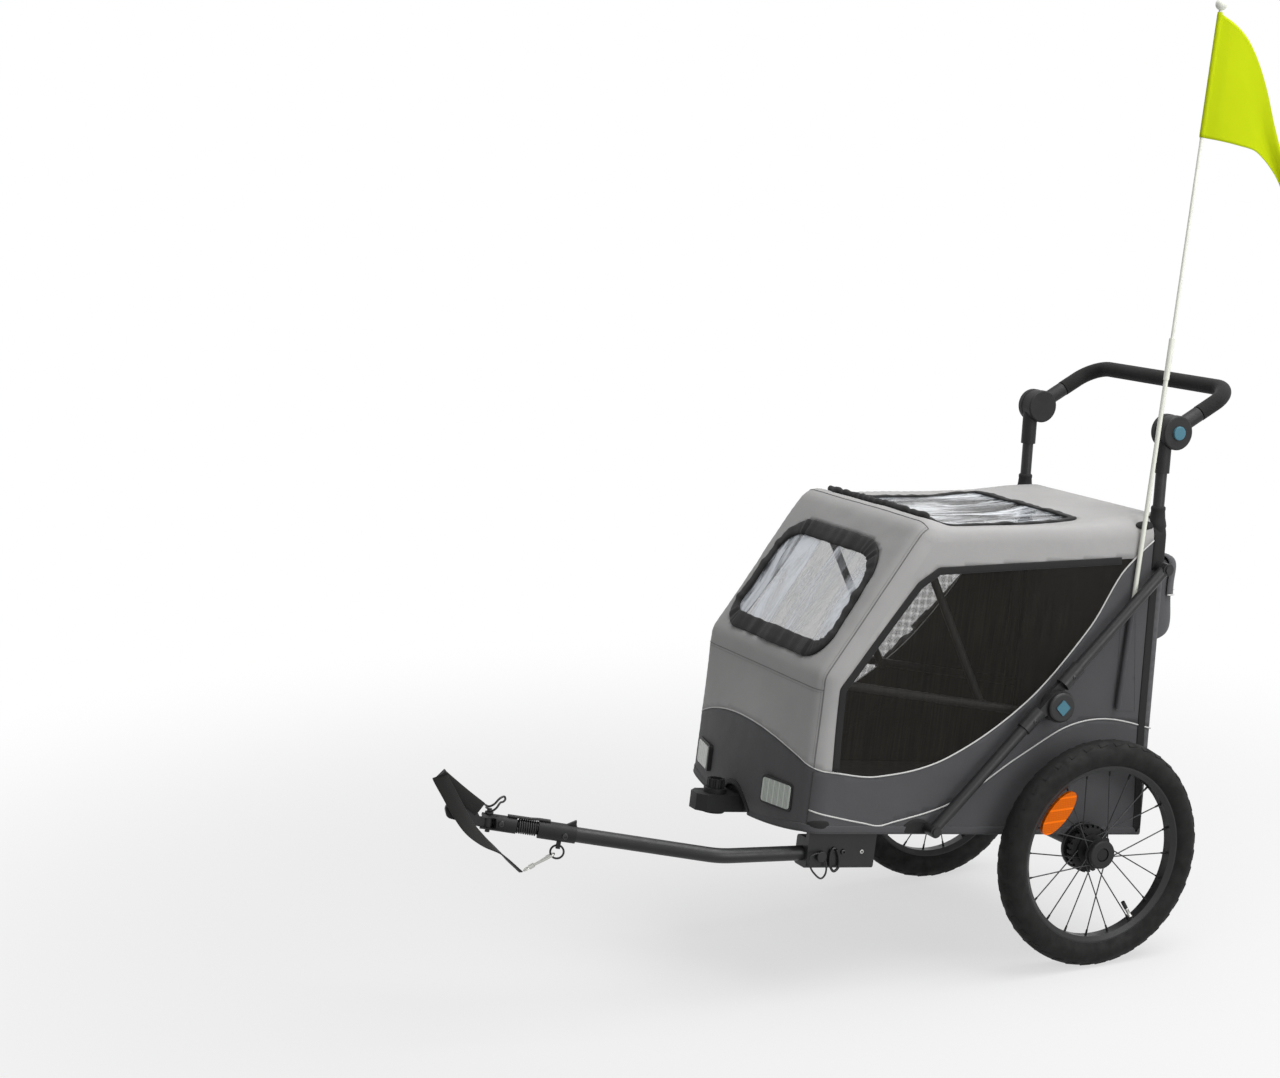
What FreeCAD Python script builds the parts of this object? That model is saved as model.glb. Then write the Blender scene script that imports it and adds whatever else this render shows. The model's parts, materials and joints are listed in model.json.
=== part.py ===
# A two-wheeled dog trailer, in millimetres: a folding tube frame with a sewn cabin, a sprung
# hitch, a push handle on tilt joints and a safety flag. It is laid out in its own level frame, with the
# origin at the axle's centre, +X to the trailer's left, +Y backward and +Z up. At the end it is pitched
# nose-up, as it stands when it is hitched, and set on the ground.
import FreeCAD, Part
import math
import os
from FreeCAD import Vector

# Stance
WHEEL_R = 200.0
WHEEL_GAP = 27.0
TOW_PITCH = 7.5

# Clearances
FIT = 0.05
GAP = 0.3
CLOTH_GAP = 0.6

# Base frame
RAIL_R = 11.0
RAIL_X = 204.0
RAIL_Z = 30.0
RAIL_FRONT = -545.0
RAIL_REAR = 104.0
RAIL_BEND = 40.0
LUG_T = 6.0
LUG_R = 10.0
BOSS_R = 9.0
BOSS_CLEAR = 1.5
PIN_R = 4.0
PIN_HEAD_R = 7.0
PIN_HEAD_T = 2.5
FLOOR_T = 6.0
FLOOR_HALF = 174.0

# Axle
AXLE_R = 11.0
AXLE_PIN_R = 6.0
AXLE_PIN_DEPTH = 70.0
AXLE_PLATE_R = 42.0
AXLE_PLATE_T = 8.0
SADDLE_WIDTH = 24.0
SADDLE_LENGTH = 34.0

# Folding frame: pivots as (y, z), seen from the side
UPRIGHT_R = 10.0
FOLD_PIVOT = (110.0, 60.0)
UPRIGHT_TOP = (61.0, 732.0)
TILT_PIVOT = (75.0, 732.0)
STRUT_TOP_Z = 497.0
STRUT_FOOT_Y = -322.0
KNEE_OFFSET = 20.0
STRUT_R = 10.0
KNEE_R = 28.0
KNEE_DISC_T = 9.7
KNEE_ROUND = 3.0
KNEE_SLEEVE_R = 13.0
KNEE_SLEEVE_START = 31.0
KNEE_SLEEVE_LENGTH = 42.0
FOLD_BUTTON_HALF = 10.0
FOLD_BUTTON_ROUND = 1.5
DIAMOND_ROUND = 2.0
FOLD_BUTTON_LENGTH = 9.0
BUTTON_TRAVEL = 4.0
CROSS_R = 8.0
CROSS_LOW_Z = 150.0
CROSS_HIGH_Z = 545.0

# Hoops that carry the cover
WAIST_PIVOT_Z = 205.0
WAIST_FRONT = (-549.0, 268.0)
WAIST_R = 7.5
WAIST_BEND = 60.0
RIDGE_PIVOT_Y = -215.0
RIDGE_TOP = (-394.0, 530.0)
RIDGE_R = 7.0
RIDGE_BEND = 55.0
HOOP_GAP = 2.0
HOOP_EYE_R = 9.0
HOOP_HEAD_R = 6.5
HOOP_HEAD_T = 3.0

# Push handle
HANDLE_ARM = 146.0
HANDLE_RISE = 34.7
HANDLE_BEND = 46.0
HANDLE_TUBE_R = 10.0
FOAM_R = 14.0
FOAM_START = 64.0
HUB_R = 30.0
HUB_HALF = 20.0
KNUCKLE_HALF = 7.7
KNUCKLE_ARM_R = 13.5
SLEEVE_R = 13.5
SLEEVE_BOTTOM_Z = 660.0
TILT_BUTTON_R = 12.0
TILT_BUTTON_PROUD = 4.6

# Sewn cover
CLOTH = 1.4
NOSE_Y = -560.0
NOSE_Z = 284.0
NOSE_ROUND = 40.0
RIDGE_CORNER = (-402.0, 549.0)
RIDGE_ROUND = 48.0
ROOF_REAR = (75.0, 585.0)
COVER_FILLET = 36.0
HEM_Z = 20.0
PANEL_FRONT = -410.0
WINDOW_HALF = 166.0
WINDOW_ROUND = 48.0
WINDOW_LOW = 25.0
WINDOW_HIGH = 252.0
ROOF_WINDOW_FRONT = -366.0
ROOF_WINDOW_REAR = -62.0
ROOF_WINDOW_ROUND = 22.0
REAR_PANEL_LOW = 42.0
REAR_PANEL_HIGH = 560.0
REAR_PANEL_OVER = 2.0
POCKET_INSET = 21.0
POCKET_LOW = 356.0
POCKET_HIGH = 508.0
POCKET_DEPTH = 46.0
POCKET_ROUND = 20.0

# Reflectors
FRONT_LENS = (68.0, 40.0)
FRONT_FRAME = (76.0, 48.0)
FRONT_REFLECTOR_X = 134.0
REFLECTOR_TURN = 14.0
FRONT_REFLECTOR_Z = 66.0
FRAME_T = 5.0
LENS_PROUD = 2.0
LENS_T = 5.0
LENS_ROUND = 5.0
FRAME_ROUND = 7.0
REAR_LENS = (22.0, 46.0)
REAR_LENS_INSET = 1.0
REAR_LENS_LOW = 44.0

# Flag
POLE_R = 4.0
POLE_TIP_R = 3.0
POLE_Y = 33.0
POLE_BOTTOM = 250.0
POLE_TOP = 1455.0
FERRULE_LOW = 821.0
FERRULE_HIGH = 892.0
FERRULE_R = 5.0
BALL_R = 10.0
SLEEVE_LOW = 245.0
SLEEVE_HIGH = 425.0
SLEEVE_WALL = 0.8
SLEEVE_FIT = 0.1
FLAG_LOW = 1233.0
FLAG_HIGH = 1442.0
FLAG_T = 1.2

# Drawbar and hitch
DRAWBAR_R = 12.5
DRAWBAR_START = (180.0, -405.0, -20.0)
DRAWBAR_KNEE = (180.0, -690.0, -30.0)
DRAWBAR_END = (82.0, -975.0, -12.0)
DRAWBAR_BEND = 120.0
BRACKET_FRONT = -537.0
BRACKET_REAR = -407.0
BRACKET_HALF = 20.0
BRACKET_ROUND = 6.0
BRACKET_LOW = -46.0
BRACKET_HIGH = 4.0
LOCK_PIN_Y = -512.0
COLLAR_R = 15.0
COLLAR_LENGTH = 62.0
LUG_WIDTH = 7.0
RING_R = 11.0
RING_WIRE = 1.7
SPRING_R = 10.4
SPRING_WIRE = 1.05
SPRING_TURNS = 10
SPRING_LENGTH = 36.0
SPRING_END = 2.2
COUPLER_R = 13.5
COUPLER_LENGTH = 58.0
PLATE_T = 5.0
PLATE_PIN_BACK = 12.0
HITCH_BORE_R = 5.1
STRAP_WIDTH = 25.0
STRAP_T = 2.0

# Wheels
TYRE_R = 24.0
TYRE_DEPTH = 40.0
RIM_DEPTH = 13.0
RIM_HALF = 15.0
RIM_LIP = 2.8
SPOKES = 20
SPOKE_R = 1.1
HUB_CORE_R = 15.0
FLANGE_R = 27.0
FLANGE_T = 4.0
HUB_INSET = 23.0
HUB_LENGTH = 39.0
HUB_CAP_T = 10.0
HUB_CAP_ROUND = 3.0
HUB_BUTTON_R = 11.0
HUB_BUTTON_SUNK = 1.5
HUB_BUTTON_ROUND = 1.0
BRAKE_RING_R = 42.0
BRAKE_RING_T = 8.0
NOTCH_HALF = 2.5
NOTCH_DEPTH = 4.0
BRAKE_TEETH = 24
SPOKE_REFLECTOR = (90.0, 38.0, 7.0)
VALVE_LENGTH = 34.0
VALVE_R = 2.8
VALVE_CAP_R = 3.6
VALVE_ANGLE = -52.0

# Places that follow from the sizes above
CLOTH_IN = RAIL_X + RAIL_R + CLOTH_GAP
CLOTH_OUT = CLOTH_IN + CLOTH
SLEEVE_OUT_R = POLE_R + SLEEVE_FIT + SLEEVE_WALL
POLE_X = CLOTH_OUT + GAP + SLEEVE_OUT_R
STRUT_X = POLE_X + SLEEVE_OUT_R + 3 * GAP + STRUT_R
STRUT_IN = STRUT_X - STRUT_R
STRUT_OUT = STRUT_X + STRUT_R
TRACK_HALF = CLOTH_OUT + WHEEL_GAP + TYRE_R
RIM_R = WHEEL_R - TYRE_DEPTH
RIM_INNER = RIM_R - RIM_DEPTH
HUB_IN = TRACK_HALF - HUB_INSET
HUB_OUT = HUB_IN + HUB_LENGTH
BOSS_OUT = STRUT_IN - BOSS_CLEAR
WAIST_X = RAIL_X - UPRIGHT_R - HOOP_GAP - WAIST_R
RIDGE_X = WAIST_X - WAIST_R - HOOP_GAP - RIDGE_R
REAR_PANEL_HALF = RAIL_X + REAR_PANEL_OVER
POCKET_HALF = REAR_PANEL_HALF - POCKET_INSET
REAR_LENS_X = REAR_PANEL_HALF - REAR_LENS_INSET - REAR_LENS[0] / 2
PLATE_IN = CLOTH_OUT + GAP
PLATE_OUT = PLATE_IN + AXLE_PLATE_T
SLOT_HALF = KNUCKLE_HALF + GAP


def upright_y(z):
    share = (z - FOLD_PIVOT[1]) / (UPRIGHT_TOP[1] - FOLD_PIVOT[1])
    return FOLD_PIVOT[0] + (UPRIGHT_TOP[0] - FOLD_PIVOT[0]) * share


def waist_z(y):
    rear = (upright_y(WAIST_PIVOT_Z), WAIST_PIVOT_Z)
    return rear[1] + (WAIST_FRONT[1] - rear[1]) * (y - rear[0]) / (WAIST_FRONT[0] - rear[0])


STRUT_TOP = (upright_y(STRUT_TOP_Z), STRUT_TOP_Z)
STRUT_FOOT = (STRUT_FOOT_Y, RAIL_Z)
STRUT_SPAN = math.dist(STRUT_TOP, STRUT_FOOT)
STRUT_WAY = ((STRUT_FOOT[0] - STRUT_TOP[0]) / STRUT_SPAN, (STRUT_FOOT[1] - STRUT_TOP[1]) / STRUT_SPAN)
KNEE_SIDE = (-STRUT_WAY[1], STRUT_WAY[0])
STRUT_MID = ((STRUT_TOP[0] + STRUT_FOOT[0]) / 2, (STRUT_TOP[1] + STRUT_FOOT[1]) / 2)
KNEE = (STRUT_MID[0] + KNEE_OFFSET * KNEE_SIDE[0], STRUT_MID[1] + KNEE_OFFSET * KNEE_SIDE[1])
WAIST_PIVOT = (upright_y(WAIST_PIVOT_Z), WAIST_PIVOT_Z)
RIDGE_PIVOT = (RIDGE_PIVOT_Y, waist_z(RIDGE_PIVOT_Y))
HANDLE_WAY = (math.cos(math.radians(HANDLE_RISE)), math.sin(math.radians(HANDLE_RISE)))
LEAN = math.degrees(math.atan2(FOLD_PIVOT[0] - UPRIGHT_TOP[0], UPRIGHT_TOP[1] - FOLD_PIVOT[1]))
HITCH_WAY = Vector(*DRAWBAR_END).sub(Vector(*DRAWBAR_KNEE)).normalize()


# Building blocks

def at(point, x):
    return Vector(x, point[0], point[1])


def rod(start, end, radius):
    way = end.sub(start)
    return Part.makeCylinder(radius, way.Length, start, way)


def pin(point, x_from, x_to, radius):
    return rod(at(point, x_from), at(point, x_to), radius)


def box(x, y, z):
    return Part.makeBox(x[1] - x[0], y[1] - y[0], z[1] - z[0], Vector(x[0], y[0], z[0]))


def fused(first, *others):
    whole = first.multiFuse(list(others))
    merged = whole.removeSplitter()
    return merged if merged.isValid() else whole


def mirrored(shape):
    return shape.mirror(Vector(0, 0, 0), Vector(1, 0, 0))


def pair(shape):
    return Part.makeCompound([shape, mirrored(shape)])


def along(start, way, distance):
    return start.add(Vector(way).multiply(distance))


def corner_arc(before, corner, after, radius):
    back = before.sub(corner).normalize()
    ahead = after.sub(corner).normalize()
    half_turn = (math.pi - back.getAngle(ahead)) / 2
    trim = radius * math.tan(half_turn)
    apex = along(corner, back.add(ahead).normalize(), radius * (1 / math.cos(half_turn) - 1))
    return along(corner, back, trim), apex, along(corner, ahead, trim)


def bent_path(points, radii):
    edges = []
    last = points[0]
    for before, corner, after, radius in zip(points, points[1:], points[2:], radii):
        start, apex, end = corner_arc(before, corner, after, radius)
        edges.append(Part.makeLine(last, start))
        edges.append(Part.Arc(start, apex, end).toShape())
        last = end
    edges.append(Part.makeLine(last, points[-1]))
    return Part.Wire(edges)


def bent_rod(points, bend, radius):
    path = bent_path(points, [bend] * (len(points) - 2))
    profile = Part.Wire(Part.makeCircle(radius, points[0], points[1].sub(points[0])))
    return path.makePipeShell([profile], True, False)


def rounded_face(points, radii):
    edges = []
    corners = []
    count = len(points)
    for i, radius in enumerate(radii):
        if radius:
            corners.append(corner_arc(points[i - 1], points[i], points[(i + 1) % count], radius))
        else:
            corners.append((points[i], None, points[i]))
    for i, (start, apex, end) in enumerate(corners):
        if apex:
            edges.append(Part.Arc(start, apex, end).toShape())
        edges.append(Part.makeLine(end, corners[(i + 1) % count][0]))
    return Part.Face(Part.Wire(edges))


def slab(outline, radii, x_from, x_to):
    face = rounded_face([at(point, x_from) for point in outline], radii)
    return face.extrude(Vector(x_to - x_from, 0, 0))


def below_curve(points, floor_z, x_from, x_to):
    curve = Part.BSplineCurve()
    curve.interpolate([at(point, x_from) for point in points])
    first = at(points[0], x_from)
    last = at(points[-1], x_from)
    low_first = Vector(x_from, points[0][0], floor_z)
    low_last = Vector(x_from, points[-1][0], floor_z)
    edges = [curve.toShape(), Part.makeLine(last, low_last), Part.makeLine(low_last, low_first)]
    edges.append(Part.makeLine(low_first, first))
    return Part.Face(Part.Wire(edges)).extrude(Vector(x_to - x_from, 0, 0))


nodes = {}


# Base frame: one bent rail loop with a lug for each upright and a boss for each strut foot
def base_frame():
    rear_mid = Vector(0, RAIL_REAR, RAIL_Z)
    corners = [Vector(RAIL_X, RAIL_REAR, RAIL_Z), Vector(RAIL_X, RAIL_FRONT, RAIL_Z)]
    corners += [Vector(-RAIL_X, RAIL_FRONT, RAIL_Z), Vector(-RAIL_X, RAIL_REAR, RAIL_Z)]
    loop = bent_rod([rear_mid, *corners, rear_mid], RAIL_BEND, RAIL_R)
    lug_out = RAIL_X - UPRIGHT_R - GAP
    lug_in = lug_out - LUG_T
    foot = [(RAIL_REAR - 2 * RAIL_R, RAIL_Z), (RAIL_REAR, RAIL_Z)]
    foot += [(FOLD_PIVOT[0] + LUG_R, FOLD_PIVOT[1]), (FOLD_PIVOT[0] - LUG_R, FOLD_PIVOT[1])]
    lug = fused(slab(foot, [0] * 4, lug_in, lug_out), pin(FOLD_PIVOT, lug_in, lug_out, LUG_R))
    hinge = pin(FOLD_PIVOT, lug_in, RAIL_X + UPRIGHT_R, PIN_R)
    boss = pin(STRUT_FOOT, RAIL_X, BOSS_OUT, BOSS_R)
    fittings = [lug, hinge, boss]
    return fused(loop, *fittings, *[mirrored(piece) for piece in fittings])


nodes["base_frame"] = base_frame()
rail_top = RAIL_Z + RAIL_R
floor_z = (rail_top, rail_top + FLOOR_T)
nodes["floor_panel"] = box((-FLOOR_HALF, FLOOR_HALF), (RAIL_FRONT, RAIL_REAR), floor_z)


# Axle: a cross tube with saddles under the rails and a round plate at each end
def axle():
    tube = pin((0, 0), -PLATE_IN, PLATE_IN, AXLE_R)
    plate = pin((0, 0), PLATE_IN, PLATE_OUT, AXLE_PLATE_R)
    rim_edges = [edge for edge in plate.Edges if edge.Closed]
    plate = plate.makeFillet(AXLE_PLATE_T / 4, rim_edges)
    saddle_x = (RAIL_X - SADDLE_WIDTH / 2, RAIL_X + RAIL_R)
    saddle = box(saddle_x, (-SADDLE_LENGTH / 2, SADDLE_LENGTH / 2), (0, RAIL_Z))
    rail = rod(Vector(RAIL_X, -SADDLE_LENGTH, RAIL_Z), Vector(RAIL_X, SADDLE_LENGTH, RAIL_Z), RAIL_R)
    ends = [plate, saddle.cut(rail)]
    solid = fused(tube, *ends, *[mirrored(piece) for piece in ends])
    bore = pin((0, 0), PLATE_OUT - AXLE_PIN_DEPTH, PLATE_OUT, AXLE_PIN_R)
    return solid.cut(bore).cut(mirrored(bore))


nodes["axle"] = axle()
BUTTON_SEAT = HUB_OUT - HUB_CAP_T - HUB_CAP_ROUND
BUTTON_STEM_R = 3.0


def axle_pin():
    shaft = pin((0, 0), PLATE_OUT - AXLE_PIN_DEPTH, BUTTON_SEAT, AXLE_PIN_R)
    return shaft.cut(pin((0, 0), BUTTON_SEAT - 3 * BUTTON_TRAVEL, BUTTON_SEAT, BUTTON_STEM_R + FIT))


nodes["axle_pins"] = pair(axle_pin())


def hub_button():
    face = BUTTON_SEAT + GAP + BUTTON_TRAVEL
    head = pin((0, 0), face, HUB_OUT - HUB_BUTTON_SUNK, HUB_BUTTON_R)
    stem = pin((0, 0), BUTTON_SEAT - BUTTON_TRAVEL, face, BUTTON_STEM_R)
    return fused(head.makeFillet(HUB_BUTTON_ROUND, [head.Edges[0]]), stem)


# Wheels
def revolved(profile):
    outline = [Vector(x, 0, r) for x, r in profile]
    face = Part.Face(Part.makePolygon(outline + outline[:1]))
    return face.revolve(Vector(0, 0, 0), Vector(1, 0, 0), 360)


def rim():
    lip = RIM_HALF - RIM_LIP
    bed = RIM_R - 2 * RIM_LIP
    half = [(RIM_HALF * 0.6, RIM_INNER), (RIM_HALF, RIM_INNER + RIM_HALF / 2), (RIM_HALF, RIM_R)]
    half += [(lip, RIM_R), (lip - RIM_LIP / 2, bed)]
    profile = [(TRACK_HALF + x, r) for x, r in half]
    profile += [(TRACK_HALF - x, r) for x, r in reversed(half)]
    angle = math.radians(VALVE_ANGLE)
    way = Vector(0, math.cos(angle), math.sin(angle))
    centre = Vector(TRACK_HALF, 0, 0)
    outer = along(centre, way, RIM_INNER + 1)
    neck = along(centre, way, RIM_INNER - VALVE_LENGTH * 0.6)
    tip = along(centre, way, RIM_INNER - VALVE_LENGTH)
    return fused(revolved(profile), rod(outer, neck, VALVE_R), rod(neck, tip, VALVE_CAP_R))


def tyre(wheel_rim):
    ring = Part.makeTorus(WHEEL_R - TYRE_R, TYRE_R, Vector(TRACK_HALF, 0, 0), Vector(1, 0, 0))
    return ring.cut(wheel_rim)


def hub():
    cap = HUB_OUT - HUB_CAP_T
    pieces = [pin((0, 0), HUB_IN, HUB_IN + FLANGE_T, FLANGE_R)]
    pieces.append(pin((0, 0), cap - FLANGE_T, cap, FLANGE_R))
    dome = pin((0, 0), cap, HUB_OUT, FLANGE_R - 2)
    outer_edge = [edge for edge in dome.Edges if edge.Closed and edge.BoundBox.XMin > HUB_OUT - 1]
    pieces.append(dome.makeFillet(HUB_CAP_ROUND, outer_edge))
    ring = pin((0, 0), HUB_IN - BRAKE_RING_T, HUB_IN, BRAKE_RING_R)
    notch_z = (BRAKE_RING_R - NOTCH_DEPTH, RIM_INNER)
    notch = box((HUB_IN - BRAKE_RING_T, HUB_IN), (-NOTCH_HALF, NOTCH_HALF), notch_z)
    notches = []
    for tooth in range(BRAKE_TEETH):
        cut = notch.copy()
        cut.rotate(Vector(0, 0, 0), Vector(1, 0, 0), 360 * tooth / BRAKE_TEETH)
        notches.append(cut)
    pieces.append(ring.cut(Part.makeCompound(notches)))
    body = fused(pin((0, 0), HUB_IN, cap, HUB_CORE_R), *pieces)
    bore = pin((0, 0), HUB_IN - BRAKE_RING_T, HUB_OUT, AXLE_PIN_R + FIT)
    recess = pin((0, 0), BUTTON_SEAT, HUB_OUT, HUB_BUTTON_R + 1)
    return body.cut(bore).cut(recess)


SPOKE_ANCHOR_R = FLANGE_R - 3.0
SPOKE_LEAD = 38.0
SPOKE_REACH = RIM_INNER + 2.0
SPOKE_OUT_X = HUB_OUT - HUB_CAP_T - FLANGE_T / 2
SPOKE_IN_X = HUB_IN + FLANGE_T / 2


def spokes(wheel_hub, wheel_rim):
    wires = []
    for count in range(SPOKES):
        outer = count % 2
        lead = SPOKE_LEAD if (count // 2) % 2 else -SPOKE_LEAD
        rim_angle = math.radians(360 * count / SPOKES)
        hub_angle = rim_angle + math.radians(lead)
        x = SPOKE_OUT_X if outer else SPOKE_IN_X
        start = Vector(x, SPOKE_ANCHOR_R * math.cos(hub_angle), SPOKE_ANCHOR_R * math.sin(hub_angle))
        end = Vector(TRACK_HALF, SPOKE_REACH * math.cos(rim_angle), SPOKE_REACH * math.sin(rim_angle))
        wires.append(rod(start, end, SPOKE_R).cut(wheel_hub).cut(wheel_rim))
    return Part.makeCompound([piece for wire in wires for piece in wire.Solids])


REFLECTOR_INSET = 25.0
REFLECTOR_R = RIM_INNER - REFLECTOR_INSET
REFLECTOR_ANGLE = 144.0
reflector_share = (REFLECTOR_R - SPOKE_REFLECTOR[1] / 2) / SPOKE_REACH
REFLECTOR_X = SPOKE_OUT_X + (TRACK_HALF - SPOKE_OUT_X) * reflector_share + SPOKE_R + GAP


def spoke_reflector():
    length, width, thick = SPOKE_REFLECTOR
    oval = Part.Ellipse(Vector(0, 0, 0), length / 2, width / 2).toShape()
    plate = Part.Face(Part.Wire(oval)).extrude(Vector(0, 0, thick))
    plate.rotate(Vector(0, 0, 0), Vector(0, 1, 0), 90)
    plate.translate(Vector(REFLECTOR_X, REFLECTOR_R, 0))
    plate.rotate(Vector(0, 0, 0), Vector(1, 0, 0), REFLECTOR_ANGLE)
    return plate


def wheel(side, place):
    wheel_rim = rim()
    wheel_hub = hub()
    pieces = {"tyre": tyre(wheel_rim), "rim": wheel_rim, "hub": wheel_hub}
    pieces["spokes"] = spokes(wheel_hub, wheel_rim)
    pieces["spoke_reflector"] = spoke_reflector()
    pieces["hub_button"] = hub_button()
    for name, shape in pieces.items():
        nodes[name + "_" + side] = place(shape)


wheel("left", lambda shape: shape)
wheel("right", mirrored)

# Uprights: each turns on its lug and carries the pins of the strut and of the waist hoop
UPRIGHT_END_Z = 696.0


def upright():
    foot = at(FOLD_PIVOT, RAIL_X)
    tube = rod(foot, Vector(RAIL_X, upright_y(UPRIGHT_END_Z), UPRIGHT_END_Z), UPRIGHT_R)
    ball = Part.makeSphere(UPRIGHT_R, foot)
    boss = pin(STRUT_TOP, RAIL_X, BOSS_OUT, BOSS_R)
    strut_pin = pin(STRUT_TOP, BOSS_OUT, STRUT_OUT + GAP + PIN_HEAD_T, PIN_R)
    strut_head = pin(STRUT_TOP, STRUT_OUT + GAP, STRUT_OUT + GAP + PIN_HEAD_T, PIN_HEAD_R)
    hoop_in = WAIST_X - WAIST_R - GAP
    hoop_pin = pin(WAIST_PIVOT, hoop_in - HOOP_HEAD_T, RAIL_X, PIN_R)
    hoop_head = pin(WAIST_PIVOT, hoop_in - HOOP_HEAD_T, hoop_in, HOOP_HEAD_R)
    solid = fused(tube, ball, boss, strut_pin, strut_head, hoop_pin, hoop_head)
    return solid.cut(pin(FOLD_PIVOT, 0, 2 * RAIL_X, PIN_R + FIT))


nodes["upright_left"] = upright()
nodes["upright_right"] = mirrored(nodes["upright_left"])


def rear_cross_tubes():
    tubes = []
    for z in (CROSS_LOW_Z, CROSS_HIGH_Z):
        tube = pin((upright_y(z), z), -RAIL_X, RAIL_X, CROSS_R)
        tubes.append(tube.cut(nodes["upright_left"]).cut(nodes["upright_right"]))
    return Part.makeCompound(tubes)


nodes["rear_cross_tubes"] = rear_cross_tubes()

# Tilt joints: a forked hub on each upright, a knuckle between its cheeks and a button in its outer face
TILT_PIN_R = 6.0
BUTTON_DEPTH = 8.0


def tilt_socket():
    sleeve_foot = Vector(RAIL_X, upright_y(SLEEVE_BOTTOM_Z), SLEEVE_BOTTOM_Z)
    sleeve = rod(sleeve_foot, at(UPRIGHT_TOP, RAIL_X), SLEEVE_R)
    drum = pin(TILT_PIVOT, RAIL_X - HUB_HALF, RAIL_X + HUB_HALF, HUB_R)
    rim_edges = [edge for edge in drum.Edges if edge.Closed]
    drum = drum.makeFillet(KNEE_ROUND, rim_edges)
    solid = fused(sleeve, drum)
    slot = pin(TILT_PIVOT, RAIL_X - SLOT_HALF, RAIL_X + SLOT_HALF, HUB_R)
    solid = solid.cut(slot)
    upright_end = Vector(RAIL_X, upright_y(UPRIGHT_END_Z), UPRIGHT_END_Z)
    solid = solid.cut(rod(at(FOLD_PIVOT, RAIL_X), upright_end, UPRIGHT_R))
    axle_rod = pin(TILT_PIVOT, RAIL_X - SLOT_HALF, RAIL_X + SLOT_HALF, TILT_PIN_R)
    outer_face = RAIL_X + HUB_HALF
    recess = pin(TILT_PIVOT, outer_face - BUTTON_DEPTH, outer_face, TILT_BUTTON_R)
    return fused(solid, axle_rod).cut(recess)


nodes["tilt_sockets"] = pair(tilt_socket())


def tilt_button():
    outer_face = RAIL_X + HUB_HALF
    seat = outer_face - BUTTON_DEPTH + BUTTON_TRAVEL + GAP
    button = pin(TILT_PIVOT, seat, outer_face + TILT_BUTTON_PROUD, TILT_BUTTON_R - FIT)
    face_edges = [edge for edge in button.Edges if edge.BoundBox.XMin > outer_face]
    return button.makeFillet(FOLD_BUTTON_ROUND, face_edges)


nodes["tilt_button_left"] = tilt_button()
nodes["tilt_button_right"] = mirrored(nodes["tilt_button_left"])


# Push handle: knuckles, bent bar and foam grip, all on the tilt axis
def on_handle(distance, x):
    return Vector(x, TILT_PIVOT[0] + HANDLE_WAY[0] * distance, TILT_PIVOT[1] + HANDLE_WAY[1] * distance)


KNUCKLE_START = HUB_R + 2 * GAP
KNUCKLE_END = FOAM_START - 2.0
BAR_START = KNUCKLE_START + 6.0


def tilt_knuckle():
    disc = pin(TILT_PIVOT, RAIL_X - KNUCKLE_HALF, RAIL_X + KNUCKLE_HALF, HUB_R - 2 * GAP)
    arm = rod(on_handle(KNUCKLE_START, RAIL_X), on_handle(KNUCKLE_END, RAIL_X), KNUCKLE_ARM_R)
    neck = rod(on_handle(0, RAIL_X), on_handle(KNUCKLE_END, RAIL_X), KNUCKLE_ARM_R)
    keep = box((RAIL_X - KNUCKLE_HALF, RAIL_X + KNUCKLE_HALF), (-RAIL_X, 2 * RAIL_X), (0, 2 * UPRIGHT_END_Z))
    solid = fused(disc, arm, neck.common(keep))
    solid = solid.cut(pin(TILT_PIVOT, 0, 2 * RAIL_X, TILT_PIN_R + FIT))
    return solid.cut(rod(on_handle(BAR_START, RAIL_X), on_handle(KNUCKLE_END, RAIL_X), HANDLE_TUBE_R))


def handle_bar(start, radius):
    left = [on_handle(start, RAIL_X), on_handle(HANDLE_ARM, RAIL_X)]
    right = [on_handle(HANDLE_ARM, -RAIL_X), on_handle(start, -RAIL_X)]
    return bent_rod(left + right, HANDLE_BEND, radius)


nodes["tilt_knuckles"] = pair(tilt_knuckle())
nodes["push_bar"] = handle_bar(BAR_START, HANDLE_TUBE_R)
nodes["foam_grip"] = handle_bar(FOAM_START, FOAM_R).cut(nodes["push_bar"])


# Struts: two halves a side that fold at a knee hub beside the tube
def on_strut(distance, aside=0.0):
    y = STRUT_MID[0] + STRUT_WAY[0] * distance + KNEE_SIDE[0] * aside
    z = STRUT_MID[1] + STRUT_WAY[1] * distance + KNEE_SIDE[1] * aside
    return (y, z)


KNEE_FACE = STRUT_X - GAP
KNEE_CAP_T = 8.0
KNEE_PIN_R = 6.0
EYE_R = STRUT_R + 0.5
BUTTON_POCKET = 7.0


def knee_arm(sign, x_from, x_to):
    sleeve_from = sign * KNEE_SLEEVE_START
    sleeve_to = sign * (KNEE_SLEEVE_START + KNEE_SLEEVE_LENGTH)
    sleeve = rod(at(on_strut(sleeve_from), STRUT_X), at(on_strut(sleeve_to), STRUT_X), KNEE_SLEEVE_R)
    disc = pin(KNEE, x_from, x_to, KNEE_R)
    near = on_strut(sleeve_from + sign * KNEE_SLEEVE_R, -KNEE_SLEEVE_R / 2)
    far = on_strut(sleeve_from + sign * KNEE_SLEEVE_R, KNEE_SLEEVE_R / 2)
    web = slab([KNEE, on_strut(0, KNEE_OFFSET - KNEE_R), near, far], [0] * 4, x_from, x_to)
    return fused(sleeve, disc, web)


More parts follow.
